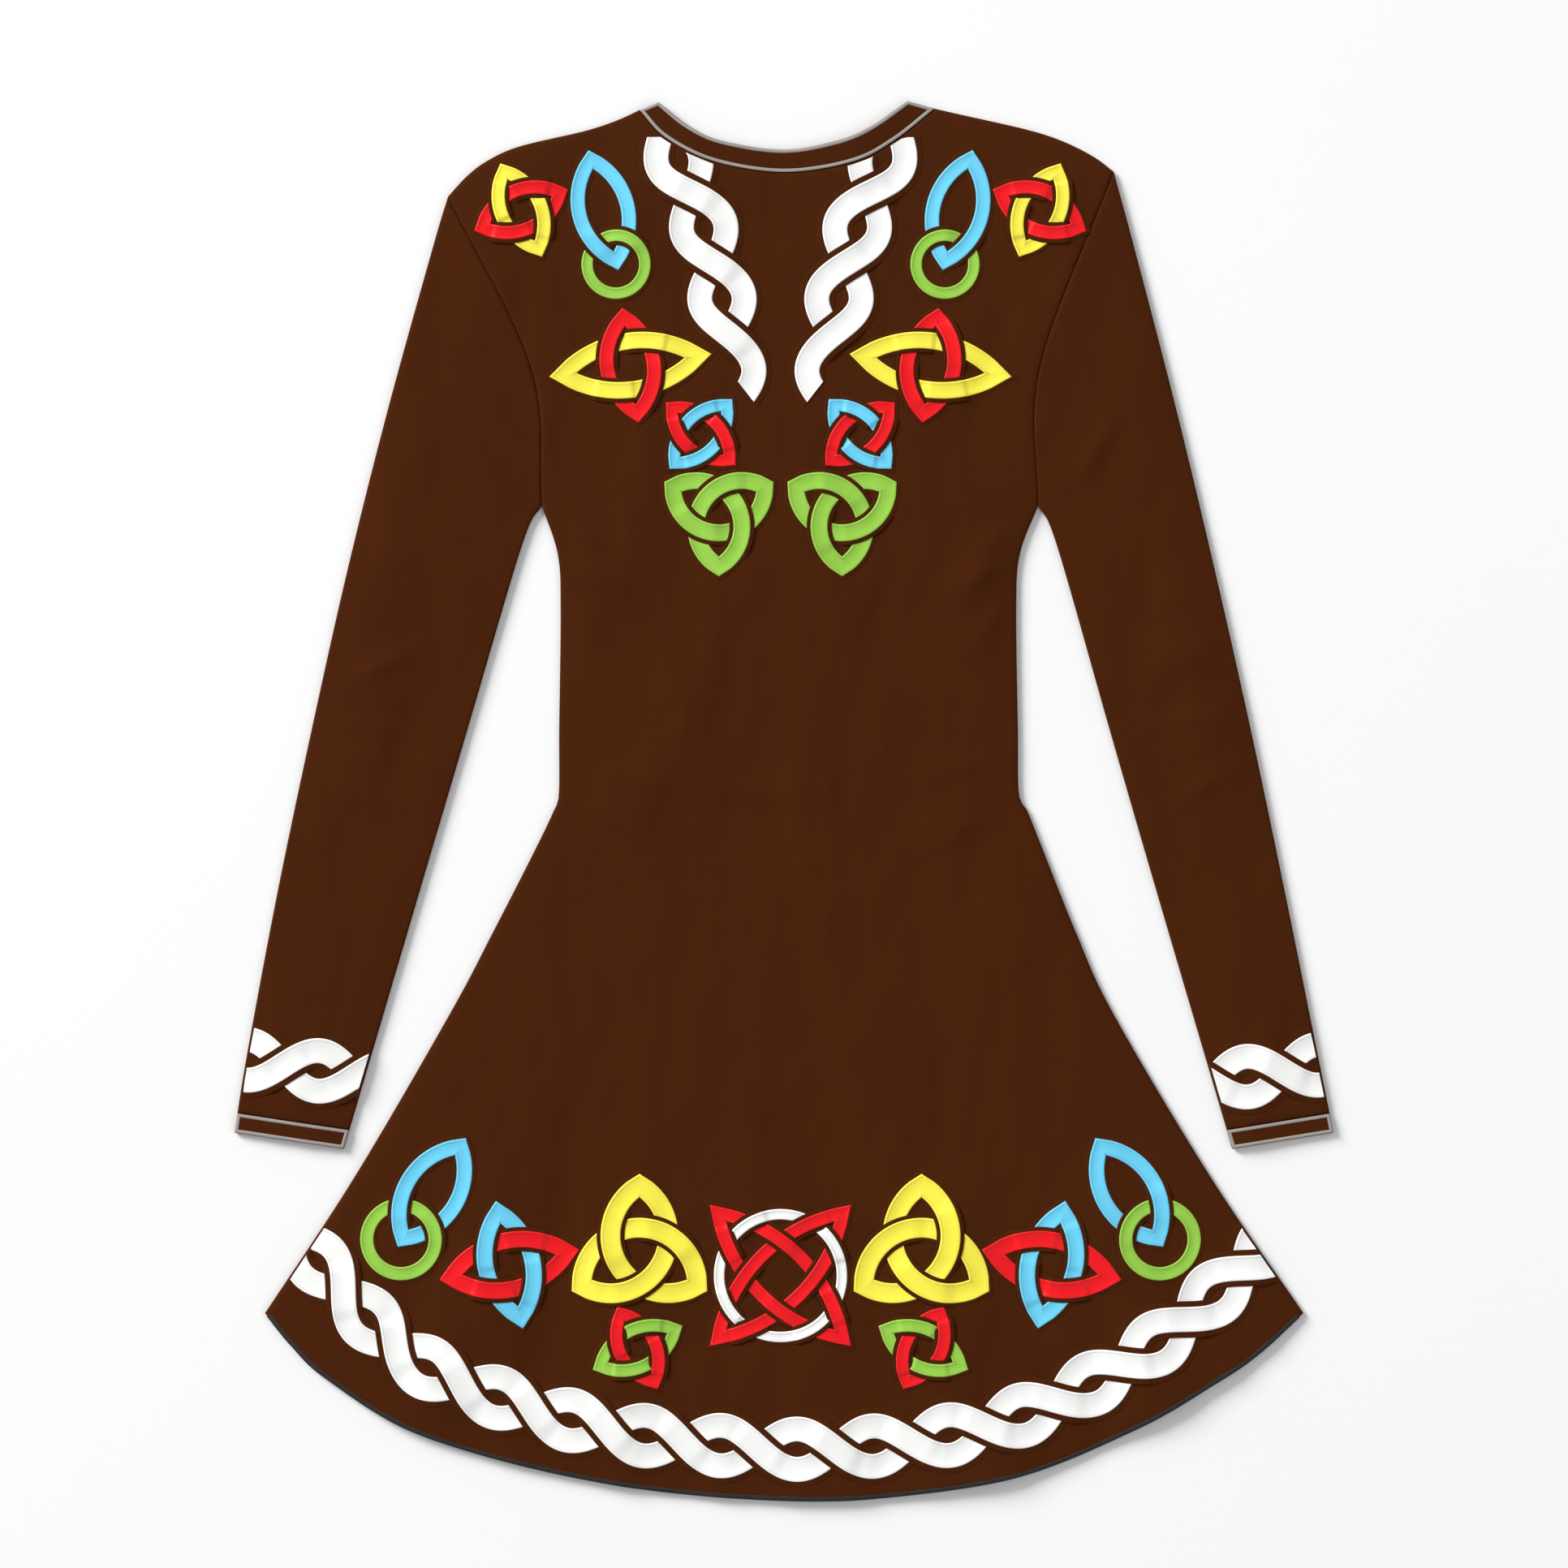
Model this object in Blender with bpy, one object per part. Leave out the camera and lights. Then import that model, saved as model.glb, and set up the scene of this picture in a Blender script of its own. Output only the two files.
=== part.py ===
"""A long-sleeved, A-line Irish dance dress, laid flat with its front up.

The tables are in millimetres, from the middle of the garment: x towards the
wearer's left, y towards the neck. z is the height above what the dress lies on.
"""

import math
from collections import namedtuple

import bmesh
import bpy
import numpy as np
from mathutils import Vector
from mathutils.bvhtree import BVHTree

MM = 0.001

# The cloth
CLOTH = 1.2  # wall of the dress cloth
SEAM_GAP = 0.3  # between pieces that are sewn together, and between two layers
NOSE = 1.2  # how far a folded edge takes to round over
CROWN = 1.0  # how far the front springs up off the back, away from the seams
CROWN_REACH = 14.0  # over what distance from a seam or folded edge it does
MOST_RELIEF = 3.5
CUFF_DEPTH = 11.0

# The applique
APPLIQUE = 0.6  # a ribbon of cloth and its stitching
SEAT = 0.4  # from the dress cloth to a ribbon's underside
LIFT = 1.0  # how much higher a ribbon runs where it passes over another
RAMP = 2.2  # length of the slope up to that height
OVERLAP_SPARE = 0.4  # how far past the other ribbon it stays lifted
STATION = 12.0  # longest stretch of a ribbon between two cross-sections
FLATNESS = 0.5  # how far such a stretch may cut inside the ribbon's curve
END_INSET = 1.4  # from a ribbon's cut end to the edge of the cloth
END_RUN = 2.0  # from a slanting end to the last square cross-section
CORNER_SPARE = 1.0  # from a corner's mitre to the next cross-section
LEAST_STRETCH = 1.0  # shortest stretch of a ribbon beside a corner or an end
LONGEST_MITRE = 2.5  # in half ribbon widths
CUT_STEP = 0.5  # how closely a ribbon's cut end is found

HEADING_REACH = 0.4  # over what distance a line's direction is read
SHARP_EDGE = 35  # degrees between two faces
ABOVE_ALL = 100.0  # a height well above the dress

# The outline, with a row for each height at which it was measured
Row = namedtuple("Row", "y right left")
Point = namedtuple("Point", "x y")
BODY = (
    Row(-284.0, -287.6, 287.8),  # corners of the hem
    Row(-208.5, -238.0, 236.3),
    Row(-118.5, -185.4, 182.7),
    Row(-73.5, -161.6, 162.0),
    Row(-28.5, -138.6, 144.0),
    Row(-6.0, -127.8, 135.0),
    Row(4.0, -124.8, 130.2),  # waist
    Row(40.0, -124.6, 129.6),
    Row(106.5, -123.8, 128.7),
    Row(136.5, -125.4, 130.7),
    Row(163.5, -134.2, 140.8),  # underarm
)
SLEEVE_OUTER = (
    Row(309.0, -194.0, 193.5),
    Row(219.0, -219.0, 216.9),
    Row(129.0, -241.7, 238.5),
    Row(39.0, -261.9, 258.8),
    Row(-51.0, -280.8, 277.7),
    Row(-141.0, -297.7, 295.9),
    Row(-184.0, -304.6, 304.6),  # outer corners of the cuffs
)
SLEEVE_INNER = (
    Row(142.0, -145.0, 151.0),
    Row(39.0, -175.5, 180.5),
    Row(-51.0, -202.1, 206.6),
    Row(-193.0, -243.9, 248.4),  # inner corners of the cuffs
)
SHOULDER = {
    "right": (
        Point(-80.1, 382.7), Point(-92.7, 376.9), Point(-110.7, 371.0), Point(-146.7, 362.5),
        Point(-164.7, 354.4), Point(-176.0, 345.8), Point(-186.3, 334.6),
    ),
    "left": (
        Point(83.7, 383.4), Point(96.3, 380.5), Point(132.3, 372.4), Point(150.3, 367.0),
        Point(163.8, 361.1), Point(174.0, 355.2), Point(182.7, 348.4),
    ),
}
ARMHOLE_BOW = Point(20.0, 240.0)  # how far the armhole seam bows in, and at what height
NECK_SEAM = (
    SHOULDER["right"][0], Point(-66.0, 367.4), Point(-39.0, 354.0), Point(0.0, 348.0),
    Point(38.0, 353.6), Point(61.0, 365.4), SHOULDER["left"][0],
)
NECK_EDGE = (
    Point(-69.6, 387.0), Point(-51.8, 373.2), Point(-33.3, 365.3), Point(0.0, 360.6),
    Point(29.5, 365.6), Point(48.0, 373.4), Point(68.4, 387.6),
)
HEM = (
    Point(-287.6, -284.0), Point(-272.7, -302.2), Point(-254.7, -319.3), Point(-209.7, -347.6),
    Point(-146.7, -367.9), Point(-74.7, -381.8), Point(0.0, -387.6), Point(60.3, -385.6),
    Point(132.3, -373.7), Point(195.3, -348.0), Point(240.3, -322.0), Point(262.8, -306.7),
    Point(287.8, -284.0),
)

# The largest folds: soft ridges from one point to another. An open one runs out
# through the hem at its full height, and the others die away at both ends.
Fold = namedtuple("Fold", "x0 y0 x1 y1 width height open")
FOLDS = (
    Fold(-88, -40, -205, -345, 24, 2.2, True),
    Fold(-40, -70, -92, -378, 27, 1.7, True),
    Fold(10, -60, 24, -388, 30, 1.5, True),
    Fold(58, -50, 112, -378, 25, 2.0, True),
    Fold(96, -30, 216, -335, 24, 2.3, True),
    Fold(-74, 118, -46, -8, 16, 1.2, False),
    Fold(70, 104, 52, -16, 16, 1.1, False),
    Fold(-126, 150, -72, 98, 10, 1.4, False),
    Fold(132, 148, 80, 104, 10, 1.3, False),
    Fold(-118, 14, -66, -14, 9, 1.1, False),
    Fold(122, 12, 76, -20, 9, 1.0, False),
    Fold(-196, 268, -268, -110, 17, 1.0, False),
    Fold(194, 280, 262, -96, 17, 1.0, False),
    Fold(-250, 74, -196, 46, 10, 1.2, False),
    Fold(-258, 34, -212, 20, 9, 0.9, False),
    Fold(246, 88, 190, 62, 10, 1.2, False),
    Fold(254, 44, 206, 24, 9, 0.9, False),
)

# The white two-strand twists
TWIST_RIBBON = 13.8
TWIST_SWING = 11.2  # from a twist's middle line to the middle of a strand
TWIST_STEP = 1.5  # between two points of a strand's line
TWIST_RUN_OUT = 30.0  # how far a strand's line goes on past both ends, to be cut there
HEM_TWIST_UP = 28.5  # middle line of the hem twist, above the middle of the hem
HEM_TWIST_RISE = 9.8  # how much further above the hem it stands at HEM_TWIST_OUT
HEM_TWIST_OUT = 254.0  # from the middle of the dress
HEM_TWIST_STRETCHES = 8  # the hem's, between the points that its middle line is drawn from
HEM_TWIST_CROSSING = 42.3  # from one crossing to the next
HEM_TWIST_START = Point(-229.7, -286.5)  # where the strands stand furthest apart
NECK_TWIST_SWING = 12.3
NECK_TWIST_CROSSINGS = (
    Point(-66.2, 373.5), Point(-51.0, 336.5), Point(-39.1, 298.7), Point(-31.0, 259.0),
)
NECK_TWIST_STARTS = (Point(-56.0, 390.0), Point(-90.0, 367.5))  # furthest out and up, by strand
NECK_TWIST_FOOT = Point(-27.5, 218.0)  # where its middle line would cross next
NECK_TWIST_TIP = Point(-14.2, 217.5)  # one strand ends there in a slanting point
NECK_TWIST_SLANT = 128.0  # degrees, the direction of that end's cut
CUFF_TWIST_UP = {"right": 41.0, "left": 38.5}  # its middle line, above the cuff's edge
CUFF_TWIST_CROSSING = 40.0
CUFF_TWIST_FIRST = 20.2  # its first crossing, from the sleeve's outer edge
CENTRE_FRONT = -1.9  # the line that the wearer's left and right sides mirror about

# The coloured knots on the wearer's right, which the left mirrors. A trinity has
# three points and is set by its arcs' radius, a ring by its own, and a leaf is a
# pointed loop, set by its length and breadth.
Motif = namedtuple("Motif", "knot name form x y size breadth turn ribbon colour")
SIDE_MOTIFS = (
    Motif("shoulder_knot", "red", "leaf", -145.5, 327, 47, 22, 24, 7.4, "red"),
    Motif("shoulder_knot", "yellow", "leaf", -145.5, 327, 47, 22, 114, 7.4, "yellow"),
    Motif("collar_knot", "blue", "leaf", -100, 327, 58, 27, 104, 8.0, "blue"),
    Motif("collar_knot", "green", "ring", -93, 297, 16, 0, 0, 6.4, "green"),
    Motif("chest_knot", "yellow", "leaf", -85, 241, 76, 27, 8, 9.2, "yellow"),
    Motif("chest_knot", "red", "leaf", -85, 241, 54, 26, 98, 8.0, "red"),
    Motif("link_knot", "red", "leaf", -46, 203, 43, 20, 138, 6.8, "red"),
    Motif("link_knot", "blue", "leaf", -46, 203, 43, 20, 48, 6.8, "blue"),
    Motif("point_knot", "green", "trinity", -36, 159, 25.5, 0, 270, 9.4, "green"),
    Motif("outer_knot", "blue", "leaf", -195, -217, 60, 29, 58, 8.6, "blue"),
    Motif("outer_knot", "green", "ring", -212, -243, 19, 0, 0, 7.4, "green"),
    Motif("middle_knot", "red", "leaf", -152, -257, 66, 27, 12, 9.2, "red"),
    Motif("middle_knot", "blue", "leaf", -152, -257, 60, 26, 102, 9.0, "blue"),
    Motif("inner_knot", "yellow", "trinity", -80, -250, 32, 0, 90, 11.0, "yellow"),
    Motif("lower_knot", "green", "leaf", -81, -303, 46, 21, 26, 7.0, "green"),
    Motif("lower_knot", "red", "leaf", -81, -303, 42, 20, 116, 7.0, "red"),
)
CENTRE_MOTIFS = (
    Motif("centre_knot", "red_1", "leaf", CENTRE_FRONT, -263, 98, 30, 45, 7.2, "red"),
    Motif("centre_knot", "red_2", "leaf", CENTRE_FRONT, -263, 98, 30, 135, 7.2, "red"),
    Motif("centre_knot", "white", "ring", CENTRE_FRONT, -263, 34, 0, 0, 5.8, "white"),
)

FINISHES = {
    "dress_cloth": ((0.069, 0.018, 0.005), 0.85),
    "white": ((0.86, 0.86, 0.84), 0.55),
    "red": ((0.80, 0.020, 0.025), 0.55),
    "yellow": ((0.95, 0.82, 0.09), 0.55),
    "green": ((0.30, 0.59, 0.08), 0.55),
    "blue": ((0.16, 0.62, 0.88), 0.55),
}


class Line:
    """A line of points close together, followed by the distance along it."""

    def __init__(self, points, closed=False):
        self.points = np.array(points, float)
        self.closed = closed
        steps = np.diff(self.points, axis=0)
        self.along = np.concatenate([[0.0], np.cumsum(np.hypot(steps[:, 0], steps[:, 1]))])
        self.length = self.along[-1]

    def at(self, s):
        """The point at distance s. An open line goes straight on past its ends."""
        if self.closed:
            s = s % self.length
        past = s - min(max(s, 0.0), self.length)
        x = np.interp(s, self.along, self.points[:, 0])
        y = np.interp(s, self.along, self.points[:, 1])
        if past:
            end = self.points[-1] - self.points[-2] if past > 0 else self.points[1] - self.points[0]
            x, y = np.array([x, y]) + end / np.hypot(*end) * past
        return np.array([x, y])

    def heading(self, s, ahead=1):
        """The direction of travel just after distance s, or just before it if ahead is -1."""
        step = self.at(s + ahead * HEADING_REACH) - self.at(s)
        return step / np.hypot(*step) * ahead

    def shares(self, count):
        """Points that split the line into count equal stretches."""
        return [self.at(self.length * k / count) for k in range(count + 1)]

    def moved(self, distances):
        """The line moved sideways, to the left of its direction of travel. The distance
        is one number, or one for each of its points."""
        ahead = [self.heading(s, 1 if s < self.length else -1) for s in self.along]
        sideways = np.array([(-d[1], d[0]) for d in ahead])
        return Line(self.points + np.broadcast_to(distances, len(sideways))[:, None] * sideways)


def smooth(points, spans=12):
    """A smooth line through the points (a Catmull-Rom spline)."""
    p = [np.array(q, float) for q in points]
    p = [2 * p[0] - p[1], *p, 2 * p[-1] - p[-2]]
    line = []
    for a, b, c, d in zip(p, p[1:], p[2:], p[3:]):
        for k in range(spans):
            t = k / spans
            line.append(
                0.5 * (2 * b + (c - a) * t + (2 * a - 5 * b + 4 * c - d) * t**2
                       + (3 * b - a - 3 * c + d) * t**3)
            )
    return Line([*line, p[-2]])


def column(rows, side):
    """The points of one side of a table of rows."""
    return [Point(getattr(row, side), row.y) for row in rows]


def armhole(side):
    """The seam from the shoulder's corner to the underarm, bowed towards the body."""
    top, low = SHOULDER[side][-1], column(BODY, side)[-1]
    inward = math.copysign(ARMHOLE_BOW.x, -top.x)
    return smooth([top, Point((top.x + low.x) / 2 + inward, ARMHOLE_BOW.y), low])


SIDES = ("right", "left")
SIDE_SEAM = {side: smooth(column(BODY, side)) for side in SIDES}
ARMHOLE = {side: armhole(side) for side in SIDES}
OUTER_FOLD = {side: smooth([SHOULDER[side][-1], *column(SLEEVE_OUTER, side)]) for side in SIDES}
INNER_FOLD = {side: smooth([column(BODY, side)[-1], *column(SLEEVE_INNER, side)]) for side in SIDES}
SHOULDER_SEAM = {side: smooth(SHOULDER[side]) for side in SIDES}
CLOSED_EDGES = [edge[side] for edge in (SIDE_SEAM, OUTER_FOLD, INNER_FOLD, SHOULDER_SEAM)
                for side in SIDES]


def edge_distance(point):
    """Distance to the nearest side seam, shoulder seam or folded sleeve edge."""
    return min(np.hypot(*(edge.points - point).T).min() for edge in CLOSED_EDGES)


def fold_height(fold, point):
    """How far one fold lifts the cloth at a point."""
    start, end = np.array([fold.x0, fold.y0]), np.array([fold.x1, fold.y1])
    run = end - start
    share = float((point - start) @ run / (run @ run))
    off = abs(run[0] * (point[1] - start[1]) - run[1] * (point[0] - start[0])) / np.hypot(*run)
    if share <= 0 or (share >= 1 and not fold.open):
        return 0.0
    rise = math.sin(math.pi / 2 * min(share, 1.0)) if fold.open else math.sin(math.pi * share)
    return fold.height * rise**2 * math.exp(-((off / fold.width) ** 2))


def relief(point):
    """How far the upper layer stands off the lower one, past the seam gap."""
    point = np.array(point)
    lifted = CROWN + sum(fold_height(fold, point) for fold in FOLDS)
    return min(lifted, MOST_RELIEF) * (1 - math.exp(-edge_distance(point) / CROWN_REACH))


def fill(low, high, first, last):
    """Rows of points between four borders (a Coons patch). low and high run across,
    first and last run from low to high."""
    rows = []
    for j, (a, b) in enumerate(zip(first, last)):
        v = j / (len(first) - 1)
        row = []
        for i, (c, d) in enumerate(zip(low, high)):
            u = i / (len(low) - 1)
            corners = ((1 - u) * (1 - v) * low[0] + u * (1 - v) * low[-1]
                       + (1 - u) * v * high[0] + u * v * high[-1])
            row.append((1 - v) * c + v * d + (1 - u) * a + u * b - corners)
        rows.append(row)
    return rows


def finish_material(name):
    """The material of that finish, made once."""
    material = bpy.data.materials.get(name)
    if material is None:
        colour, roughness = FINISHES[name]
        material = bpy.data.materials.new(name)
        material.use_nodes = True
        shader = material.node_tree.nodes["Principled BSDF"]
        shader.inputs["Base Color"].default_value = (*colour, 1.0)
        shader.inputs["Roughness"].default_value = roughness
        shader.inputs["Metallic"].default_value = 0.0
        material.diffuse_color = (*colour, 1.0)
    return material


def add_object(name, bm, finish):
    """Makes a named object of the finished mesh, in metres."""
    bmesh.ops.recalc_face_normals(bm, faces=bm.faces)
    bmesh.ops.scale(bm, vec=(MM, MM, MM), verts=bm.verts)
    mesh = bpy.data.meshes.new(name)
    bm.to_mesh(mesh)
    bm.free()
    mesh.shade_smooth()
    mesh.set_sharp_from_angle(angle=math.radians(SHARP_EDGE))
    mesh.materials.append(finish_material(finish))
    made = bpy.data.objects.new(name, mesh)
    bpy.context.scene.collection.objects.link(made)
    return made


def thicken(bm, wall):
    """Gives the sheet of faces a wall by extruding it upwards."""
    raised = bmesh.ops.extrude_face_region(bm, geom=bm.faces[:])
    upper = [v for v in raised["geom"] if isinstance(v, bmesh.types.BMVert)]
    bmesh.ops.translate(bm, vec=(0, 0, wall), verts=upper)


def body_borders(cols_shoulder=6, cols_neck=12, rows_side=22, rows_armhole=8):
    """The four borders of the front and the back, as points: hem, top, right side, left side."""
    neck = smooth(NECK_SEAM).moved(-SEAM_GAP).shares(cols_neck)
    top = {}
    up = {}
    for side in SIDES:
        shoulder = SHOULDER_SEAM[side].shares(cols_shoulder)
        shoulder[0] = neck[0] if side == "right" else neck[-1]
        top[side] = shoulder
        arm = ARMHOLE[side].shares(rows_armhole)[::-1]
        up[side] = [*SIDE_SEAM[side].shares(rows_side), *arm[1:]]
    across = [*top["right"][::-1], *neck[1:-1], *top["left"]]
    return smooth(HEM).shares(len(across) - 1), across, up["right"], up["left"]


def make_front():
    """The front: bodice and skirt cut in one, over the back, with its folds."""
    grid = fill(*body_borders())
    bm = bmesh.new()
    low = CLOTH + SEAM_GAP
    verts = [[bm.verts.new((*p, low + relief(p))) for p in row] for row in grid]
    for near, far in zip(verts, verts[1:]):
        for a, b, c, d in zip(near, near[1:], far[1:], far):
            bm.faces.new((a, b, c, d))
    thicken(bm, CLOTH)
    return add_object("front", bm, "dress_cloth")


def make_back():
    """The back: the same outline as the front, flat on its outer face."""
    hem, top, right, left = body_borders()
    outline = [*hem[:-1], *left[:-1], *top[::-1][:-1], *right[::-1][:-1]]
    bm = bmesh.new()
    bm.faces.new([bm.verts.new((*p, 0.0)) for p in outline])
    thicken(bm, CLOTH)
    return add_object("back", bm, "dress_cloth")


def toward(start, end, distance):
    """The point at that distance from start on the way to end."""
    step = end - start
    return start + step / np.hypot(*step) * distance


def flat_ring(row, nose, inset, low, high):
    """One ring round a flattened tube, along a row of points from fold to fold. The
    layers start at inset from each fold, and nose is where the fold itself lies."""
    first, last = toward(row[0], row[1], inset), toward(row[-1], row[-2], inset)
    across = [first, *row[1:-1], last]
    middle = CLOTH + SEAM_GAP / 2
    lower = [(*p, low) for p in across]
    upper = [(*p, high + relief(p)) for p in reversed(across)]
    return [*lower, (*toward(row[-1], row[-2], nose), middle),
            *upper, (*toward(row[0], row[1], nose), middle)]


def make_tube(name, grid):
    """A tube of cloth pressed flat: each row of the grid runs from fold to fold."""
    bm = bmesh.new()
    skins = []
    for nose, inset, low, high in (
        (0.0, NOSE, 0.0, 2 * CLOTH + SEAM_GAP),
        (CLOTH, CLOTH + NOSE / 2, CLOTH, CLOTH + SEAM_GAP),
    ):
        rings = [flat_ring(row, nose, inset, low, high) for row in grid]
        skins.append([[bm.verts.new(p) for p in ring] for ring in rings])
    outer, inner = skins
    loops = [*zip(outer, outer[1:]), *zip(inner, inner[1:]),
             (outer[0], inner[0]), (outer[-1], inner[-1])]
    for near, far in loops:
        for k in range(len(near)):
            bm.faces.new((near[k - 1], near[k], far[k], far[k - 1]))
    return add_object(name, bm, "dress_cloth")


def make_sleeve(side, across=8, along=18):
    """A sleeve, folded along both edges, and the cuff below it."""
    clear = -SEAM_GAP if side == "right" else SEAM_GAP
    head = ARMHOLE[side].moved(clear).shares(across)
    outer, inner = OUTER_FOLD[side], INNER_FOLD[side]
    ends = []
    for above in (CUFF_DEPTH + SEAM_GAP, CUFF_DEPTH, 0.0):
        ends.append((outer.at(outer.length - above), inner.at(inner.length - above)))
    wrist, seam, edge = [Line(pair).shares(across) for pair in ends]
    down = [Line(fold.points[fold.along < fold.length - CUFF_DEPTH - SEAM_GAP]).shares(along)
            for fold in (outer, inner)]
    for fold, corner in zip(down, (0, -1)):
        fold[0], fold[-1] = head[corner], wrist[corner]
    cuff = fill(seam, edge, [seam[0], edge[0]], [seam[-1], edge[-1]])
    return (make_tube(f"sleeve_{side}", fill(head, wrist, *down)),
            make_tube(f"cuff_{side}", cuff))


def make_neckband(along=12):
    """The band round the neck: its front half lies on its back half, joined at the tips."""
    edge, seam = smooth(NECK_EDGE).shares(along), smooth(NECK_SEAM).shares(along)
    middle = [(a + b) / 2 for a, b in zip(edge, seam)]
    return make_tube("neckband", [edge, middle, seam])


class Strand:
    """One ribbon of applique, which runs over and under the others of its knot."""

    def __init__(self, name, line, ribbon, colour, corners=()):
        self.name, self.line, self.ribbon, self.colour = name, line, ribbon, colour
        self.corners = corners  # distances along the line
        self.over = []  # (distance along, half the length that stays lifted)
        self.starts = self.ends = None  # where its left and right edges are cut

    def edge(self, s, side):
        """The point on the ribbon's left (1) or right (-1) edge, mitred at a corner."""
        before, after = self.line.heading(s, -1), self.line.heading(s)
        middle = (before + after) / np.hypot(*(before + after))
        reach = side * self.ribbon / 2 * min(1 / float(middle @ after), LONGEST_MITRE)
        return self.line.at(s) + reach * np.array([-middle[1], middle[0]])

    def lift(self, s):
        """How far the ribbon is lifted there to pass over another."""
        most = 0.0
        for place, half in self.over:
            away = abs(s - place)
            if self.line.closed:
                away = min(away, self.line.length - away)
            most = max(most, 1 - max(0.0, away - half) / RAMP)
        return LIFT * max(0.0, most)

    def cut(self, within):
        """Ends both edges of an open ribbon where they leave the cloth."""
        steps = np.arange(0.0, self.line.length, CUT_STEP)
        kept = []
        for side in (1, -1):
            inside = [s for s in steps if within(self.edge(s, side))]
            kept.append((inside[0], inside[-1]))
        self.starts, self.ends = zip(*kept)

    def corner_reach(self, s):
        """How far along the ribbon its mitre at a corner takes up its inner edge."""
        before, after = self.line.heading(s, -1), self.line.heading(s)
        half_turn = math.acos(min(1.0, max(-1.0, float(before @ after)))) / 2
        return self.ribbon / 2 * math.tan(half_turn) + CORNER_SPARE

    def stretch(self, step=3.0, straight=0.01, corner=0.5):
        """The longest stretch between two cross-sections that keeps the ribbon's curve.
        A turn below straight or above corner, in radians a step, isn't a curve."""
        tightest = math.inf
        for s in np.arange(0.0, self.line.length - 2 * step, step):
            turn = math.acos(min(1.0, float(self.line.heading(s) @ self.line.heading(s + step))))
            if straight < turn < corner:
                tightest = min(tightest, step / turn)
        return min(STATION, math.sqrt(8 * tightest * FLATNESS))

    def sections(self):
        """Its cross-sections: distances along the left and right edge, and the lift."""
        length = self.line.length
        stretch = self.stretch()
        wanted = set()
        for place, half in self.over:
            wanted.update(place + away for away in (-half - RAMP, -half, half, half + RAMP))
        if self.line.closed:
            wanted = {s % length for s in wanted}
        for corner in self.corners:
            reach = self.corner_reach(corner)
            wanted = {s for s in wanted
                      if min((s - corner) % length, (corner - s) % length) > reach + LEAST_STRETCH}
            wanted.update((corner, (corner + reach) % length, (corner - reach) % length))
        if self.line.closed:
            wanted = sorted(wanted or {0.0})
            wanted.append(wanted[0] + length)
        else:
            first, last = max(self.starts) + END_RUN, min(self.ends) - END_RUN
            inside = [s for s in wanted if first + LEAST_STRETCH < s < last - LEAST_STRETCH]
            wanted = [first, *sorted(inside), last]
        places = [wanted[0]]
        for a, b in zip(wanted, wanted[1:]):
            count = math.ceil((b - a) / stretch)
            places += [a + (b - a) * k / count for k in range(1, count + 1)]
        sections = [(s, s, self.lift(s)) for s in places]
        if self.line.closed:
            return sections[:-1]
        start, end = self.slanted(first, self.starts)[::-1], self.slanted(last, self.ends)
        sections[0] = (first, first, max(self.lift(first), start[-1][2]))
        sections[-1] = (last, last, max(self.lift(last), end[0][2]))
        return [*start, *sections, *end]

    def slanted(self, last, ends):
        """The sections from the last square one out to a slanting end, each lifted as
        the edge of it that needs most."""
        count = math.ceil(max(abs(end - last) for end in ends) / self.stretch())
        cuts = [[last + (end - last) * k / count for end in ends] for k in range(1, count + 1)]
        return [(*cut, max(self.lift(s) for s in cut)) for cut in cuts]


def crossings(a, b, parallel=1e-9):
    """Where two strands cross, or one crosses itself: (distance on a, on b, angle)."""
    p, r = a.line.points[:-1], np.diff(a.line.points, axis=0)
    q, t = b.line.points[:-1], np.diff(b.line.points, axis=0)
    found = []
    for i in range(len(p)):
        gap = q - p[i]
        turn = r[i][0] * t[:, 1] - r[i][1] * t[:, 0]
        turn[np.abs(turn) < parallel] = parallel
        u = (gap[:, 0] * t[:, 1] - gap[:, 1] * t[:, 0]) / turn
        v = (gap[:, 0] * r[i][1] - gap[:, 1] * r[i][0]) / turn
        for k in np.nonzero((u >= 0) & (u < 1) & (v >= 0) & (v < 1))[0]:
            on_a = a.line.along[i] + u[k] * np.hypot(*r[i])
            on_b = b.line.along[k] + v[k] * np.hypot(*t[k])
            apart = abs(on_a - on_b)
            if a.line.closed:
                apart = min(apart, a.line.length - apart)
            if a is b and (apart < a.ribbon or on_a > on_b):
                continue
            across = abs(turn[k]) / (np.hypot(*r[i]) * np.hypot(*t[k]))
            found.append((on_a, on_b, math.asin(min(1.0, across))))
    return found


def weave(strands, first_over=True):
    """Lifts the strands over each other by turns: each runs over one and under the next."""
    meets = []
    passes = {strand: [] for strand in strands}
    for i, a in enumerate(strands):
        for b in strands[i:]:
            for on_a, on_b, angle in crossings(a, b):
                meets.append((a, on_a, b, on_b, angle))
                passes[a].append(on_a)
                passes[b].append(on_b)
    order = {s: {place: k for k, place in enumerate(sorted(passes[s]))} for s in strands}
    turn = {strands[0]: int(first_over)}
    for _ in strands:
        for a, on_a, b, on_b, _ in meets:
            step = order[a][on_a] + order[b][on_b] + 1
            if a in turn and b not in turn:
                turn[b] = (turn[a] + step) % 2
            elif b in turn and a not in turn:
                turn[a] = (turn[b] + step) % 2
    for a, on_a, b, on_b, angle in meets:
        upper, lower, place = (a, b, on_a) if (order[a][on_a] + turn[a]) % 2 else (b, a, on_b)
        half = (lower.ribbon / 2 + upper.ribbon / 2 * math.cos(angle)) / math.sin(angle)
        upper.over.append((place, half + OVERLAP_SPARE))


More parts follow.
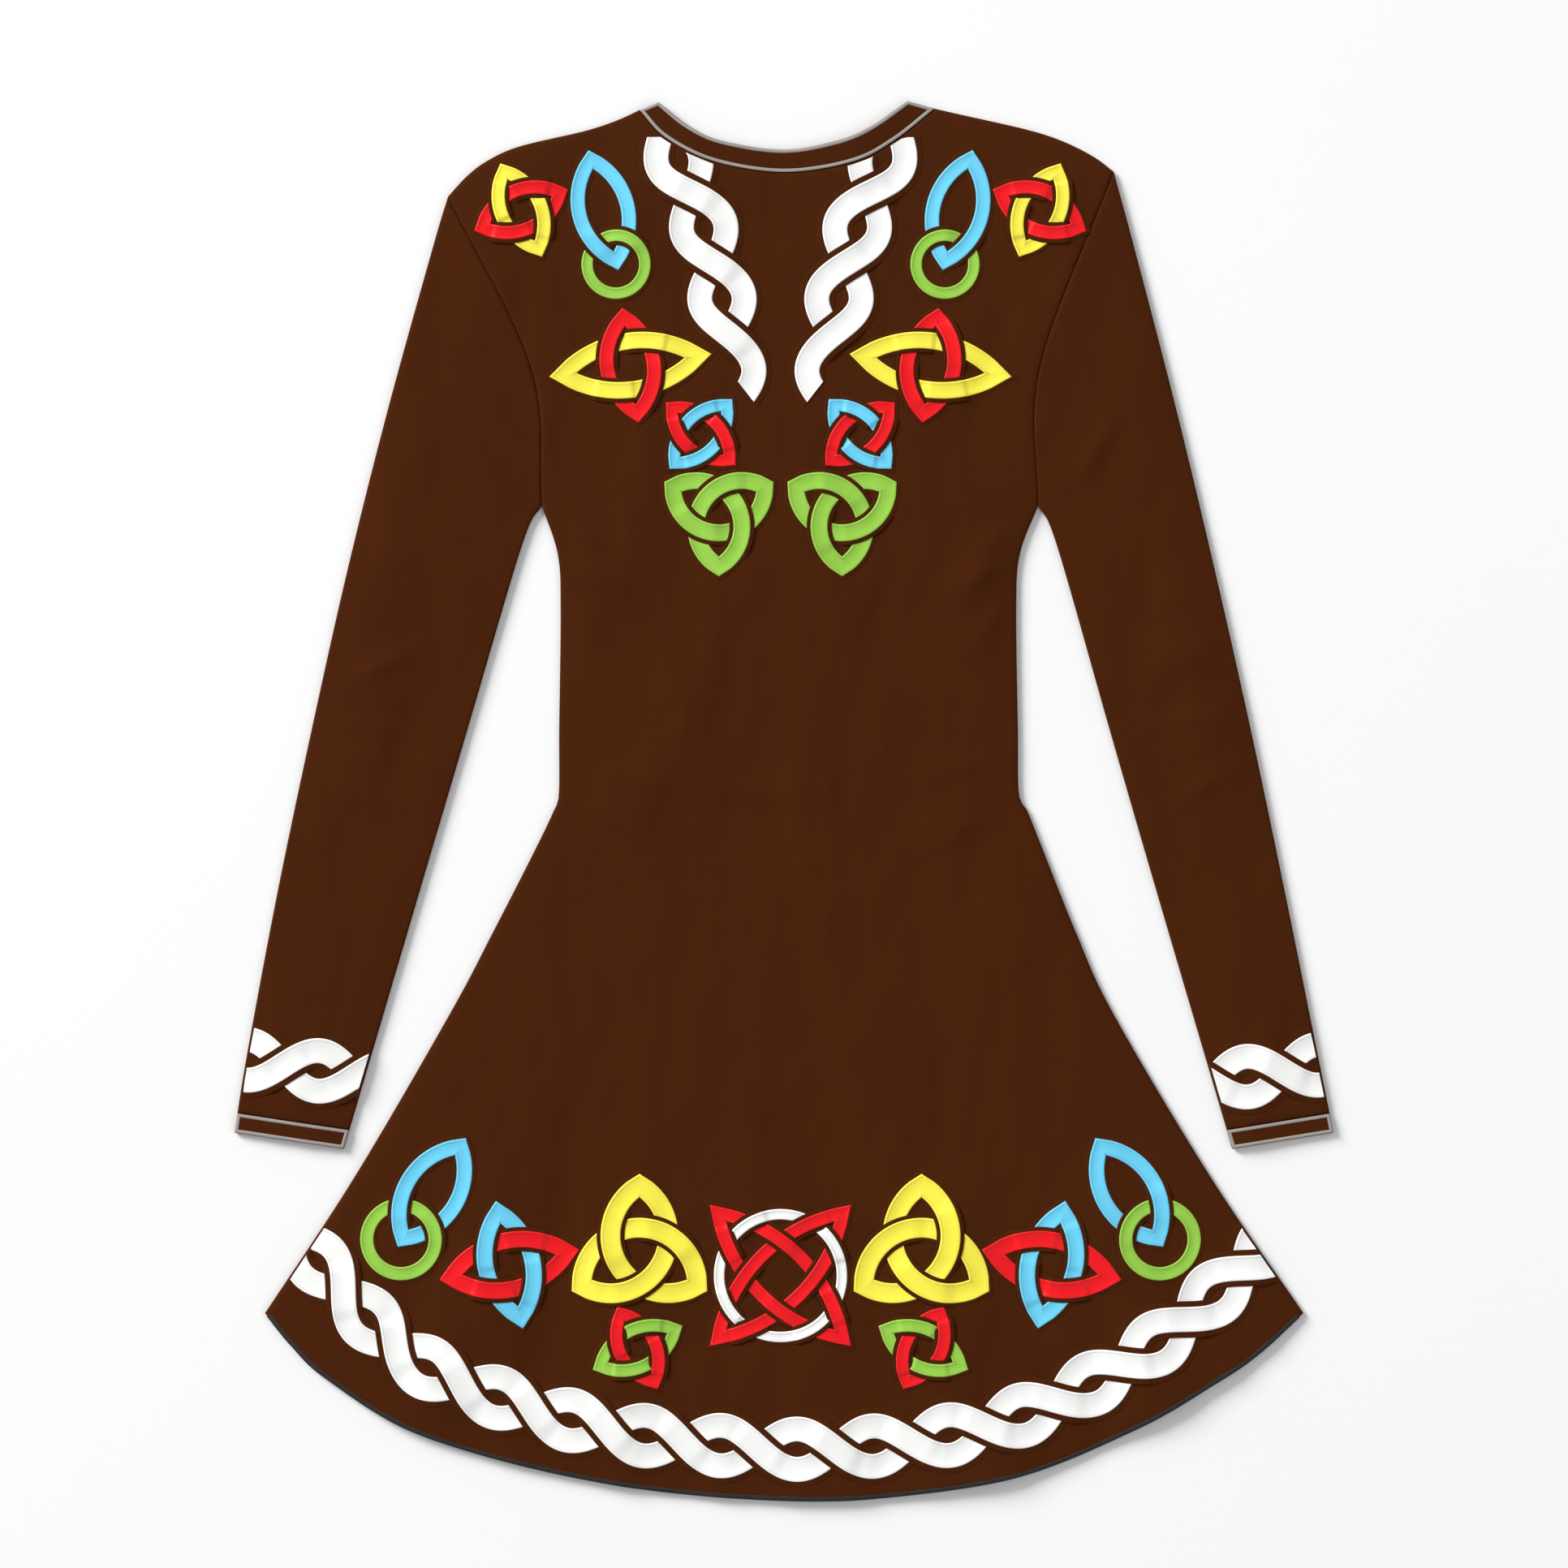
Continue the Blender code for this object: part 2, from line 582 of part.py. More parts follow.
def make_ribbon(strand, ground):
    """The ribbon as a solid that lies on the cloth and follows its folds."""
    bm = bmesh.new()
    pairs = []
    for at_left, at_right, lift in strand.sections():
        edges = strand.edge(at_left, 1), strand.edge(at_right, -1)
        pairs.append([bm.verts.new((*p, ground(p) + SEAT + lift)) for p in edges])
    following = pairs[1:] + pairs[:1] if strand.line.closed else pairs[1:]
    for near, far in zip(pairs, following):
        bm.faces.new((near[0], near[1], far[1], far[0]))
    thicken(bm, APPLIQUE)
    return add_object(strand.name, bm, strand.colour)


def arc(x, y, radius, start, end, steps=40):
    """Points on an arc, angles in degrees."""
    angles = np.radians(np.linspace(start, end, steps + 1))
    return [np.array([x + radius * math.cos(t), y + radius * math.sin(t)]) for t in angles]


def motif_line(motif):
    """The middle line of a motif's ribbon, and the distances along it of its points."""
    if motif.form == "ring":
        return Line(arc(motif.x, motif.y, motif.size, 0, 360, 90), closed=True), ()
    points, tips = [], 2
    if motif.form == "trinity":
        tips = 3
        for k in range(tips):
            away = motif.turn + 180 - 120 * k
            cx = motif.x + motif.size / math.sqrt(3) * math.cos(math.radians(away))
            cy = motif.y + motif.size / math.sqrt(3) * math.sin(math.radians(away))
            points += arc(cx, cy, motif.size, away + 90, away + 270)[:-1]
    else:
        half = motif.breadth / 2
        radius = ((motif.size / 2) ** 2 + half**2) / (2 * half)
        swing = math.degrees(math.asin(motif.size / 2 / radius))
        for k in range(tips):
            away = motif.turn + 90 + 180 * k
            cx = motif.x - (radius - half) * math.cos(math.radians(away))
            cy = motif.y - (radius - half) * math.sin(math.radians(away))
            points += arc(cx, cy, radius, away - swing, away + swing)[:-1]
    line = Line([*points, points[0]], closed=True)
    return line, tuple(line.length * k / tips for k in range(tips))


def mirrored(line):
    """The line on the wearer's other side."""
    return Line(line.points * (-1, 1) + (2 * CENTRE_FRONT, 0), line.closed)


def knot_strands(motifs, side=""):
    """The strands of each knot in a table, woven knot by knot."""
    made = []
    for knot in dict.fromkeys(motif.knot for motif in motifs):
        strands = []
        for motif in (m for m in motifs if m.knot == knot):
            line, corners = motif_line(motif)
            if side == "left":
                line = mirrored(line)
            name = "_".join(filter(None, (knot, side, motif.name)))
            strands.append(Strand(name, line, motif.ribbon, motif.colour, corners))
        weave(strands)
        made += strands
    return made


def twist(name, line, crossing, first, swing=TWIST_SWING):
    """Two strands that swing about a line and cross every so often, once at first. A
    negative swing changes them over."""
    strands = []
    for number, sign in ((1, 1), (2, -1)):
        points = []
        for s in np.arange(-TWIST_RUN_OUT, line.length + TWIST_RUN_OUT, TWIST_STEP):
            ahead = line.heading(min(max(s, 0.0), line.along[-2]))
            off = sign * swing * math.sin(math.pi * (s - first) / crossing)
            points.append(line.at(s) + off * np.array([-ahead[1], ahead[0]]))
        strands.append(Strand(f"{name}_{number}", Line(points), TWIST_RIBBON, "white"))
    return strands


def between(right, left):
    """A test for points between two edges that run up the garment, clear of both."""
    columns = [(edge.points[np.argsort(edge.points[:, 1])]) for edge in (right, left)]

    def within(p):
        low, high = [np.interp(p[1], c[:, 1], c[:, 0]) for c in columns]
        return low + END_INSET < p[0] < high - END_INSET

    return within


def hem_twist():
    """The twist that runs round the front of the hem, from side seam to side seam."""
    hem = smooth(smooth(HEM).shares(HEM_TWIST_STRETCHES), spans=24)
    line = hem.moved(HEM_TWIST_UP + HEM_TWIST_RISE * (hem.points[:, 0] / HEM_TWIST_OUT) ** 2)
    start = np.argmin(np.hypot(*(line.points - HEM_TWIST_START).T))
    first = line.along[start] - HEM_TWIST_CROSSING / 2
    strands = twist("hem_twist", line, HEM_TWIST_CROSSING, first)
    weave(strands)
    for strand in strands:
        strand.cut(between(SIDE_SEAM["right"], SIDE_SEAM["left"]))
    return strands


def cuff_twist(side):
    """The twist across a sleeve, above its cuff."""
    outer, inner, up = OUTER_FOLD[side], INNER_FOLD[side], CUFF_TWIST_UP[side]
    line = Line([outer.at(outer.length - up), inner.at(inner.length - up)])
    swing = TWIST_SWING if side == "right" else -TWIST_SWING
    strands = twist(f"cuff_twist_{side}", line, CUFF_TWIST_CROSSING, CUFF_TWIST_FIRST, swing)
    weave(strands, first_over=False)
    right, left = (outer, inner) if side == "right" else (inner, outer)
    for strand in strands:
        strand.cut(between(right, left))
    return strands


def neck_twist(side):
    """The twist from the neckband down one side of the chest. One strand ends under
    the last crossing, and the other in a slanting point below it."""
    line = smooth([*NECK_TWIST_CROSSINGS, NECK_TWIST_FOOT])
    crossing = line.length / len(NECK_TWIST_CROSSINGS)
    slant = math.radians(NECK_TWIST_SLANT)
    seam = smooth(NECK_SEAM)
    if side == "left":
        seam = Line(mirrored(seam).points[::-1])

    def above_slant(p):
        across, up = p[0] - NECK_TWIST_TIP.x, p[1] - NECK_TWIST_TIP.y
        return across * math.sin(slant) > up * math.cos(slant)

    def above_last_crossing(p):
        return p[1] > NECK_TWIST_CROSSINGS[-1].y

    strands = twist(f"neck_twist_{side}", line, crossing, 0.0, NECK_TWIST_SWING)
    for strand, start, above in zip(strands, NECK_TWIST_STARTS, (above_last_crossing, above_slant)):
        strand.cut(lambda p: above(p) and p[0] > start.x
                   and p[1] < min(start.y, np.interp(p[0], *seam.points.T) - END_INSET))
        if side == "left":
            strand.line = mirrored(strand.line)
            strand.starts, strand.ends = strand.starts[::-1], strand.ends[::-1]
    weave(strands)
    return strands


def clear_scene():
    """Removes whatever the file opened with."""
    for found in list(bpy.data.objects):
        bpy.data.objects.remove(found)


def ground_below(objects):
    """A function that gives the height of the cloth's outer face under a point."""
    points, faces = [], []
    for made in objects:
        offset = len(points)
        points += [v.co / MM for v in made.data.vertices]
        faces += [[offset + v for v in face.vertices] for face in made.data.polygons]
    tree = BVHTree.FromPolygons(points, faces)

    def height(p):
        hit = tree.ray_cast(Vector((p[0], p[1], ABOVE_ALL)), Vector((0, 0, -1)))[0]
        return hit.z if hit else 2 * CLOTH + SEAM_GAP

    return height


def main():
    """Builds the whole dress."""
    clear_scene()
    make_back()
    upper = [make_front(), make_neckband()]
    for side in SIDES:
        upper += make_sleeve(side)
    ground = ground_below(upper)
    strands = [*hem_twist(), *knot_strands(CENTRE_MOTIFS)]
    for side in SIDES:
        strands += [*neck_twist(side), *cuff_twist(side), *knot_strands(SIDE_MOTIFS, side)]
    for strand in strands:
        make_ribbon(strand, ground)


main()
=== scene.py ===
"""The looks of a brown, long-sleeved Irish dance dress, laid flat with its front up.

The tables are in millimetres from the middle of the garment: x runs towards the
wearer's left, y towards the neck, and z up from what the dress lies on. "Right" and
"left" are the wearer's.
"""

import logging
import math
from dataclasses import dataclass, field
from enum import Enum
from typing import Callable, NamedTuple, Optional, Sequence

import bpy
import numpy as np
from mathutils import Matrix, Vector, kdtree, noise

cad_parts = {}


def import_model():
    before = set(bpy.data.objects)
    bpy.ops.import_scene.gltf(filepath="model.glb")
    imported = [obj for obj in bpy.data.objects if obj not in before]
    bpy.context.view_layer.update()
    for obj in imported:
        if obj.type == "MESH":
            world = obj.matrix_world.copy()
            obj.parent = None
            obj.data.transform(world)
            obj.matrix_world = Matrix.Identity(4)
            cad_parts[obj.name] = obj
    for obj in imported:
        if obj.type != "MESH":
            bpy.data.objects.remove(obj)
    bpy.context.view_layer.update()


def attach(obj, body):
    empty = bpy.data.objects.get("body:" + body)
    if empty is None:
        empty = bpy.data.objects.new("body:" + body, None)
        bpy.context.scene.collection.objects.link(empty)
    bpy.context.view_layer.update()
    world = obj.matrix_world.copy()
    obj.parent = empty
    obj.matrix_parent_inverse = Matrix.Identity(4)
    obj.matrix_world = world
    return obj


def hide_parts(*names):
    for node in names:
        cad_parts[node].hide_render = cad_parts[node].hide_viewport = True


LOG = logging.getLogger("dress")
MM = 0.001
SHARP_EDGE = 50.0
BODY_NAME = "root"

Array = np.ndarray
Test = Callable[[Array], Array]


class Side(Enum):
    """A side of the wearer's body."""

    RIGHT = "right"
    LEFT = "left"


class Form(Enum):
    """The shape that a knot's ribbon is bent to."""

    LEAF = "leaf"
    RING = "ring"
    TRINITY = "trinity"


class Row(NamedTuple):
    """Where an edge stands on either side, at one height."""

    y: float
    right: float
    left: float


class Fold(NamedTuple):
    """A soft ridge in the cloth, from one point to another.

    One that is open runs out through the hem at its full height.
    """

    x0: float
    y0: float
    x1: float
    y1: float
    width: float
    height: float
    open: bool


class Motif(NamedTuple):
    """One closed ribbon of a knot."""

    knot: str
    name: str
    form: Form
    x: float
    y: float
    size: float
    breadth: float
    turn: float
    ribbon: float
    colour: str


# The cloth
CLOTH = 1.2
SEAM_GAP = 0.3
NOSE = 1.2
CROWN = 1.0
CROWN_REACH = 14.0
MOST_RELIEF = 3.5
LEAST_RELIEF = 0.3
CUFF_DEPTH = 11.0
SEWN_GAP = 0.04
CENTRE_FRONT = -1.9

# The applique
SEAT = 0.02
LIFT = 0.82
RAMP = 2.2
LONGEST_RAMP = 9.0
OVERLAP_SPARE = 0.4
END_INSET = 1.4

BODY = (
    Row(-284.0, -287.6, 287.8),
    Row(-208.5, -238.0, 236.3),
    Row(-118.5, -185.4, 182.7),
    Row(-73.5, -161.6, 162.0),
    Row(-28.5, -138.6, 144.0),
    Row(-6.0, -127.8, 135.0),
    Row(4.0, -124.8, 130.2),
    Row(40.0, -124.6, 129.6),
    Row(106.5, -123.8, 128.7),
    Row(136.5, -125.4, 130.7),
    Row(163.5, -134.2, 140.8),
)
SLEEVE_OUTER = (
    Row(309.0, -194.0, 193.5),
    Row(219.0, -219.0, 216.9),
    Row(129.0, -241.7, 238.5),
    Row(39.0, -261.9, 258.8),
    Row(-51.0, -280.8, 277.7),
    Row(-141.0, -297.7, 295.9),
    Row(-184.0, -304.6, 304.6),
)
SLEEVE_INNER = (
    Row(142.0, -145.0, 151.0),
    Row(39.0, -175.5, 180.5),
    Row(-51.0, -202.1, 206.6),
    Row(-193.0, -243.9, 248.4),
)
SHOULDER = {
    Side.RIGHT: (
        (-80.1, 382.7), (-92.7, 376.9), (-110.7, 371.0), (-146.7, 362.5),
        (-164.7, 354.4), (-176.0, 345.8), (-186.3, 334.6),
    ),
    Side.LEFT: (
        (83.7, 383.4), (96.3, 380.5), (132.3, 372.4), (150.3, 367.0),
        (163.8, 361.1), (174.0, 355.2), (182.7, 348.4),
    ),
}
ARMHOLE_BOW = (20.0, 240.0)
NECK_SEAM = (
    SHOULDER[Side.RIGHT][0], (-66.0, 367.4), (-39.0, 354.0), (0.0, 348.0),
    (38.0, 353.6), (61.0, 365.4), SHOULDER[Side.LEFT][0],
)
NECK_EDGE = (
    (-69.6, 387.0), (-51.8, 373.2), (-33.3, 365.3), (0.0, 360.6),
    (29.5, 365.6), (48.0, 373.4), (68.4, 387.6),
)
HEM = (
    (-287.6, -284.0), (-272.7, -302.2), (-254.7, -319.3), (-209.7, -347.6),
    (-146.7, -367.9), (-74.7, -381.8), (0.0, -387.6), (60.3, -385.6),
    (132.3, -373.7), (195.3, -348.0), (240.3, -322.0), (262.8, -306.7),
    (287.8, -284.0),
)
FOLDS = (
    Fold(-88, -40, -205, -345, 24, 2.2, True),
    Fold(-40, -70, -92, -378, 27, 1.7, True),
    Fold(10, -60, 24, -388, 30, 1.5, True),
    Fold(58, -50, 112, -378, 25, 2.0, True),
    Fold(96, -30, 216, -335, 24, 2.3, True),
    Fold(-74, 118, -46, -8, 16, 1.2, False),
    Fold(70, 104, 52, -16, 16, 1.1, False),
    Fold(-126, 150, -72, 98, 10, 1.4, False),
    Fold(132, 148, 80, 104, 10, 1.3, False),
    Fold(-118, 14, -66, -14, 9, 1.1, False),
    Fold(122, 12, 76, -20, 9, 1.0, False),
    Fold(-196, 268, -268, -110, 17, 1.0, False),
    Fold(194, 280, 262, -96, 17, 1.0, False),
    Fold(-250, 74, -196, 46, 10, 1.2, False),
    Fold(-258, 34, -212, 20, 9, 0.9, False),
    Fold(246, 88, 190, 62, 10, 1.2, False),
    Fold(254, 44, 206, 24, 9, 0.9, False),
)
CREASES = (
    Fold(-131, 152, -96, 138, 5.0, 1.2, False),
    Fold(-128, 140, -84, 112, 5.5, 1.4, False),
    Fold(-127, 122, -92, 80, 5.0, 1.1, False),
    Fold(137, 152, 100, 140, 5.0, 1.2, False),
    Fold(133, 138, 90, 114, 5.5, 1.4, False),
    Fold(131, 118, 96, 76, 5.0, 1.1, False),
    Fold(-150, 168, -186, 214, 6.0, 1.3, False),
    Fold(156, 170, 190, 220, 6.0, 1.3, False),
    Fold(-122, 20, -52, 6, 5.5, 1.2, False),
    Fold(-120, 2, -66, -26, 5.5, 1.1, False),
    Fold(127, 24, 60, 10, 5.5, 1.2, False),
    Fold(128, 0, 72, -30, 5.5, 1.1, False),
    Fold(-40, 8, 34, 2, 7.0, 0.9, False),
    Fold(-256, 62, -190, 88, 5.5, 1.4, False),
    Fold(-262, 48, -196, 34, 5.0, 1.2, False),
    Fold(-262, 24, -206, -14, 5.5, 1.1, False),
    Fold(252, 70, 190, 96, 5.5, 1.4, False),
    Fold(260, 50, 196, 40, 5.0, 1.2, False),
    Fold(262, 26, 206, -8, 5.5, 1.1, False),
)
SIDE_MOTIFS = (
    Motif("shoulder_knot", "red", Form.LEAF, -145.5, 327, 47, 22, 24, 7.4, "red"),
    Motif("shoulder_knot", "yellow", Form.LEAF, -145.5, 327, 47, 22, 114, 7.4, "yellow"),
    Motif("collar_knot", "blue", Form.LEAF, -100, 327, 58, 27, 104, 8.0, "blue"),
    Motif("collar_knot", "green", Form.RING, -93, 297, 16, 0, 0, 6.4, "green"),
    Motif("chest_knot", "yellow", Form.LEAF, -85, 241, 76, 27, 8, 9.2, "yellow"),
    Motif("chest_knot", "red", Form.LEAF, -85, 241, 54, 26, 98, 8.0, "red"),
    Motif("link_knot", "red", Form.LEAF, -46, 203, 43, 20, 138, 6.8, "red"),
    Motif("link_knot", "blue", Form.LEAF, -46, 203, 43, 20, 48, 6.8, "blue"),
    Motif("point_knot", "green", Form.TRINITY, -36, 159, 25.5, 0, 270, 9.4, "green"),
    Motif("outer_knot", "blue", Form.LEAF, -195, -217, 60, 29, 58, 8.6, "blue"),
    Motif("outer_knot", "green", Form.RING, -212, -243, 19, 0, 0, 7.4, "green"),
    Motif("middle_knot", "red", Form.LEAF, -152, -257, 66, 27, 12, 9.2, "red"),
    Motif("middle_knot", "blue", Form.LEAF, -152, -257, 60, 26, 102, 9.0, "blue"),
    Motif("inner_knot", "yellow", Form.TRINITY, -80, -250, 32, 0, 90, 11.0, "yellow"),
    Motif("lower_knot", "green", Form.LEAF, -81, -303, 46, 21, 26, 7.0, "green"),
    Motif("lower_knot", "red", Form.LEAF, -81, -303, 42, 20, 116, 7.0, "red"),
)
CENTRE_MOTIFS = (
    Motif("centre_knot", "red_1", Form.LEAF, CENTRE_FRONT, -263, 98, 30, 45, 7.2, "red"),
    Motif("centre_knot", "red_2", Form.LEAF, CENTRE_FRONT, -263, 98, 30, 135, 7.2, "red"),
    Motif("centre_knot", "white", Form.RING, CENTRE_FRONT, -263, 34, 0, 0, 5.8, "white"),
)


def unit(vectors: Array) -> Array:
    """The vectors, each made one long."""
    return vectors / np.maximum(np.linalg.norm(vectors, axis=-1, keepdims=True), 1e-12)


def turned_left(vectors: Array) -> Array:
    """The vectors turned a quarter turn anticlockwise."""
    return np.stack([-vectors[..., 1], vectors[..., 0]], -1)


class Line:
    """A line of points close together, followed by the distance along it."""

    reach: float = 0.4

    def __init__(self, points: Sequence, closed: bool = False) -> None:
        """Measures the distance along the points.

        Args:
            points: the line's points, in order. A closed one ends where it starts.
            closed: whether it is a loop.
        """
        self.points = np.array(points, float)
        self.closed = closed
        steps = np.diff(self.points, axis=0)
        self.along = np.concatenate([[0.0], np.cumsum(np.linalg.norm(steps, axis=1))])
        self.length = float(self.along[-1])

    def at(self, s: Array) -> Array:
        """Finds points on the line, which goes straight on past its ends if it is open.

        Args:
            s: distances along.

        Returns:
            A point for each distance.
        """
        s = np.asarray(s, float)
        if self.closed:
            s = np.mod(s, self.length)
        held = np.clip(s, 0.0, self.length)
        place = np.stack([np.interp(held, self.along, self.points[:, k]) for k in (0, 1)], -1)
        past = (s - held)[..., None]
        first = unit(self.points[1] - self.points[0])
        last = unit(self.points[-1] - self.points[-2])
        return place + np.where(past > 0, last, first) * past

    def heading(self, s: Array, ahead: float = 1.0) -> Array:
        """The direction of travel just after each distance, or just before for ahead = -1."""
        step = self.reach * ahead
        return unit(self.at(np.asarray(s) + step) - self.at(s)) * ahead

    def sideways(self, s: Array) -> Array:
        """Finds how a point one millimetre to the left of the line stands off it.

        Args:
            s: distances along.

        Returns:
            A vector for each distance, mitred at a corner.
        """
        after = self.heading(s)
        middle = unit(self.heading(s, -1.0) + after)
        share = np.maximum((middle * after).sum(-1, keepdims=True), 0.4)
        return turned_left(middle) / share

    def moved(self, distance: Array) -> "Line":
        """Moves the line sideways, to the left of its direction of travel.

        Args:
            distance: how far, as one number or one for each of its points.

        Returns:
            The line beside it.
        """
        away = np.reshape(distance, (-1, 1)) * self.sideways(self.along)
        return Line(self.points + away, self.closed)

    def stretches(self, count: int) -> Array:
        """The points that split the line into that many equal stretches."""
        return self.at(np.linspace(0, self.length, count + 1))

    def mirrored(self) -> "Line":
        """The line on the wearer's other side."""
        return Line(self.points * (-1, 1) + (2 * CENTRE_FRONT, 0), self.closed)

    def backwards(self) -> "Line":
        """The same line, followed the other way."""
        return Line(self.points[::-1], self.closed)


def smooth(points: Sequence, spans: int = 40) -> Line:
    """Draws a smooth line through the points (a Catmull-Rom spline).

    Args:
        points: the points that it passes through.
        spans: how many short steps it takes between two of them.

    Returns:
        The line.
    """
    p = [np.array(q, float) for q in points]
    p = [2 * p[0] - p[1], *p, 2 * p[-1] - p[-2]]
    t = (np.arange(spans) / spans)[:, None]
    runs = [
        0.5 * (2 * b + (c - a) * t + (2 * a - 5 * b + 4 * c - d) * t**2
               + (3 * b - a - 3 * c + d) * t**3)
        for a, b, c, d in zip(p, p[1:], p[2:], p[3:])
    ]
    return Line(np.concatenate([*runs, [p[-2]]]))


def column(rows: Sequence[Row], side: Side) -> list[tuple[float, float]]:
    """The points of one side of a table of rows."""
    return [(getattr(row, side.value), row.y) for row in rows]


def armhole(side: Side) -> Line:
    """The seam from the shoulder's corner to the underarm, bowed towards the body."""
    top, low = SHOULDER[side][-1], column(BODY, side)[-1]
    inward = math.copysign(ARMHOLE_BOW[0], -top[0])
    return smooth([top, ((top[0] + low[0]) / 2 + inward, ARMHOLE_BOW[1]), low])


SIDE_SEAM = {side: smooth(column(BODY, side)) for side in Side}
ARMHOLE = {side: armhole(side) for side in Side}
OUTER_FOLD = {side: smooth([SHOULDER[side][-1], *column(SLEEVE_OUTER, side)]) for side in Side}
INNER_FOLD = {side: smooth([column(BODY, side)[-1], *column(SLEEVE_INNER, side)]) for side in Side}
SHOULDER_SEAM = {side: smooth(SHOULDER[side]) for side in Side}


@dataclass
class Lay:
    """How the upper layer of the dress stands off the lower one.

    The heights are worked out once, on a fine raster, so that every piece that lies
    on another agrees with it.
    """

    half_width: float = 322.0
    half_height: float = 402.0
    step: float = 1.5
    edge_step: float = 0.3
    ripple: float = 1.6
    ripple_size: tuple[float, float] = (46.0, 104.0)
    grain: float = 0.06
    grain_size: float = 9.0

    def __post_init__(self) -> None:
        """Fills the raster of heights."""
        xs = np.arange(-self.half_width, self.half_width, self.step)
        ys = np.arange(-self.half_height, self.half_height, self.step)
        grid = np.stack(np.meshgrid(xs, ys), -1)
        lifted = CROWN + sum(self.fold_height(fold, grid) for fold in FOLDS)
        lifted = np.minimum(lifted, MOST_RELIEF) + self.ripples(grid)
        lifted += sum(self.fold_height(fold, grid) for fold in CREASES)
        reach = 1 - np.exp(-self.edge_distance(grid) / CROWN_REACH)
        self.heights = np.maximum(lifted, LEAST_RELIEF) * reach

    def fold_height(self, fold: Fold, grid: Array) -> Array:
        """Finds how far one fold lifts the cloth.

        Args:
            fold: the fold.
            grid: the points to find it at.

        Returns:
            A height for each point.
        """
        run = np.array([fold.x1 - fold.x0, fold.y1 - fold.y0], float)
        away = grid - (fold.x0, fold.y0)
        share = away @ run / (run @ run)
        off = np.abs(run[0] * away[..., 1] - run[1] * away[..., 0]) / np.linalg.norm(run)
        if fold.open:
            rise = np.sin(math.pi / 2 * np.clip(share, 0, 1))
        else:
            rise = np.sin(math.pi * np.clip(share, 0, 1))
        return fold.height * rise**2 * np.exp(-((off / fold.width) ** 2))

    def ripples(self, grid: Array) -> Array:
        """The cloth's slight unevenness, at a large and a small scale."""
        wide, high = self.ripple_size
        values = [
            self.ripple * noise.fractal(Vector((x / wide, y / high, 0.0)), 1.0, 2.0, 3)
            + self.grain * noise.noise(Vector((x / self.grain_size, y / self.grain_size, 7.0)))
            for x, y in grid.reshape(-1, 2)
        ]
        return np.array(values).reshape(grid.shape[:2])

    def edge_distance(self, grid: Array) -> Array:
        """The distance to the nearest side seam, shoulder seam or folded sleeve edge."""
        edges = [
            edge[side].at(np.arange(0.0, edge[side].length, self.edge_step))
            for edge in (SIDE_SEAM, OUTER_FOLD, INNER_FOLD, SHOULDER_SEAM)
            for side in Side
        ]
        points = np.concatenate(edges)
        tree = kdtree.KDTree(len(points))
        for k, (x, y) in enumerate(points):
            tree.insert((x, y, 0.0), k)
        tree.balance()
        found = [tree.find((x, y, 0.0))[2] for x, y in grid.reshape(-1, 2)]
        return np.array(found).reshape(grid.shape[:2])

    def relief(self, points: Array) -> Array:
        """Finds how far the upper layer stands off the lower one, past the seam gap.

        Args:
            points: where, as x and y.

        Returns:
            A height for each point.
        """
        place = (points + (self.half_width, self.half_height)) / self.step
        rows, columns = self.heights.shape
        i = np.clip(place[..., 0].astype(int), 0, columns - 2)
        j = np.clip(place[..., 1].astype(int), 0, rows - 2)
        u, v = place[..., 0] - i, place[..., 1] - j
        low = self.heights[j, i] * (1 - u) + self.heights[j, i + 1] * u
        high = self.heights[j + 1, i] * (1 - u) + self.heights[j + 1, i + 1] * u
        return low * (1 - v) + high * v

    def top(self, points: Array) -> Array:
        """The height of the dress's outer face."""
        return 2 * CLOTH + SEAM_GAP + self.relief(points)


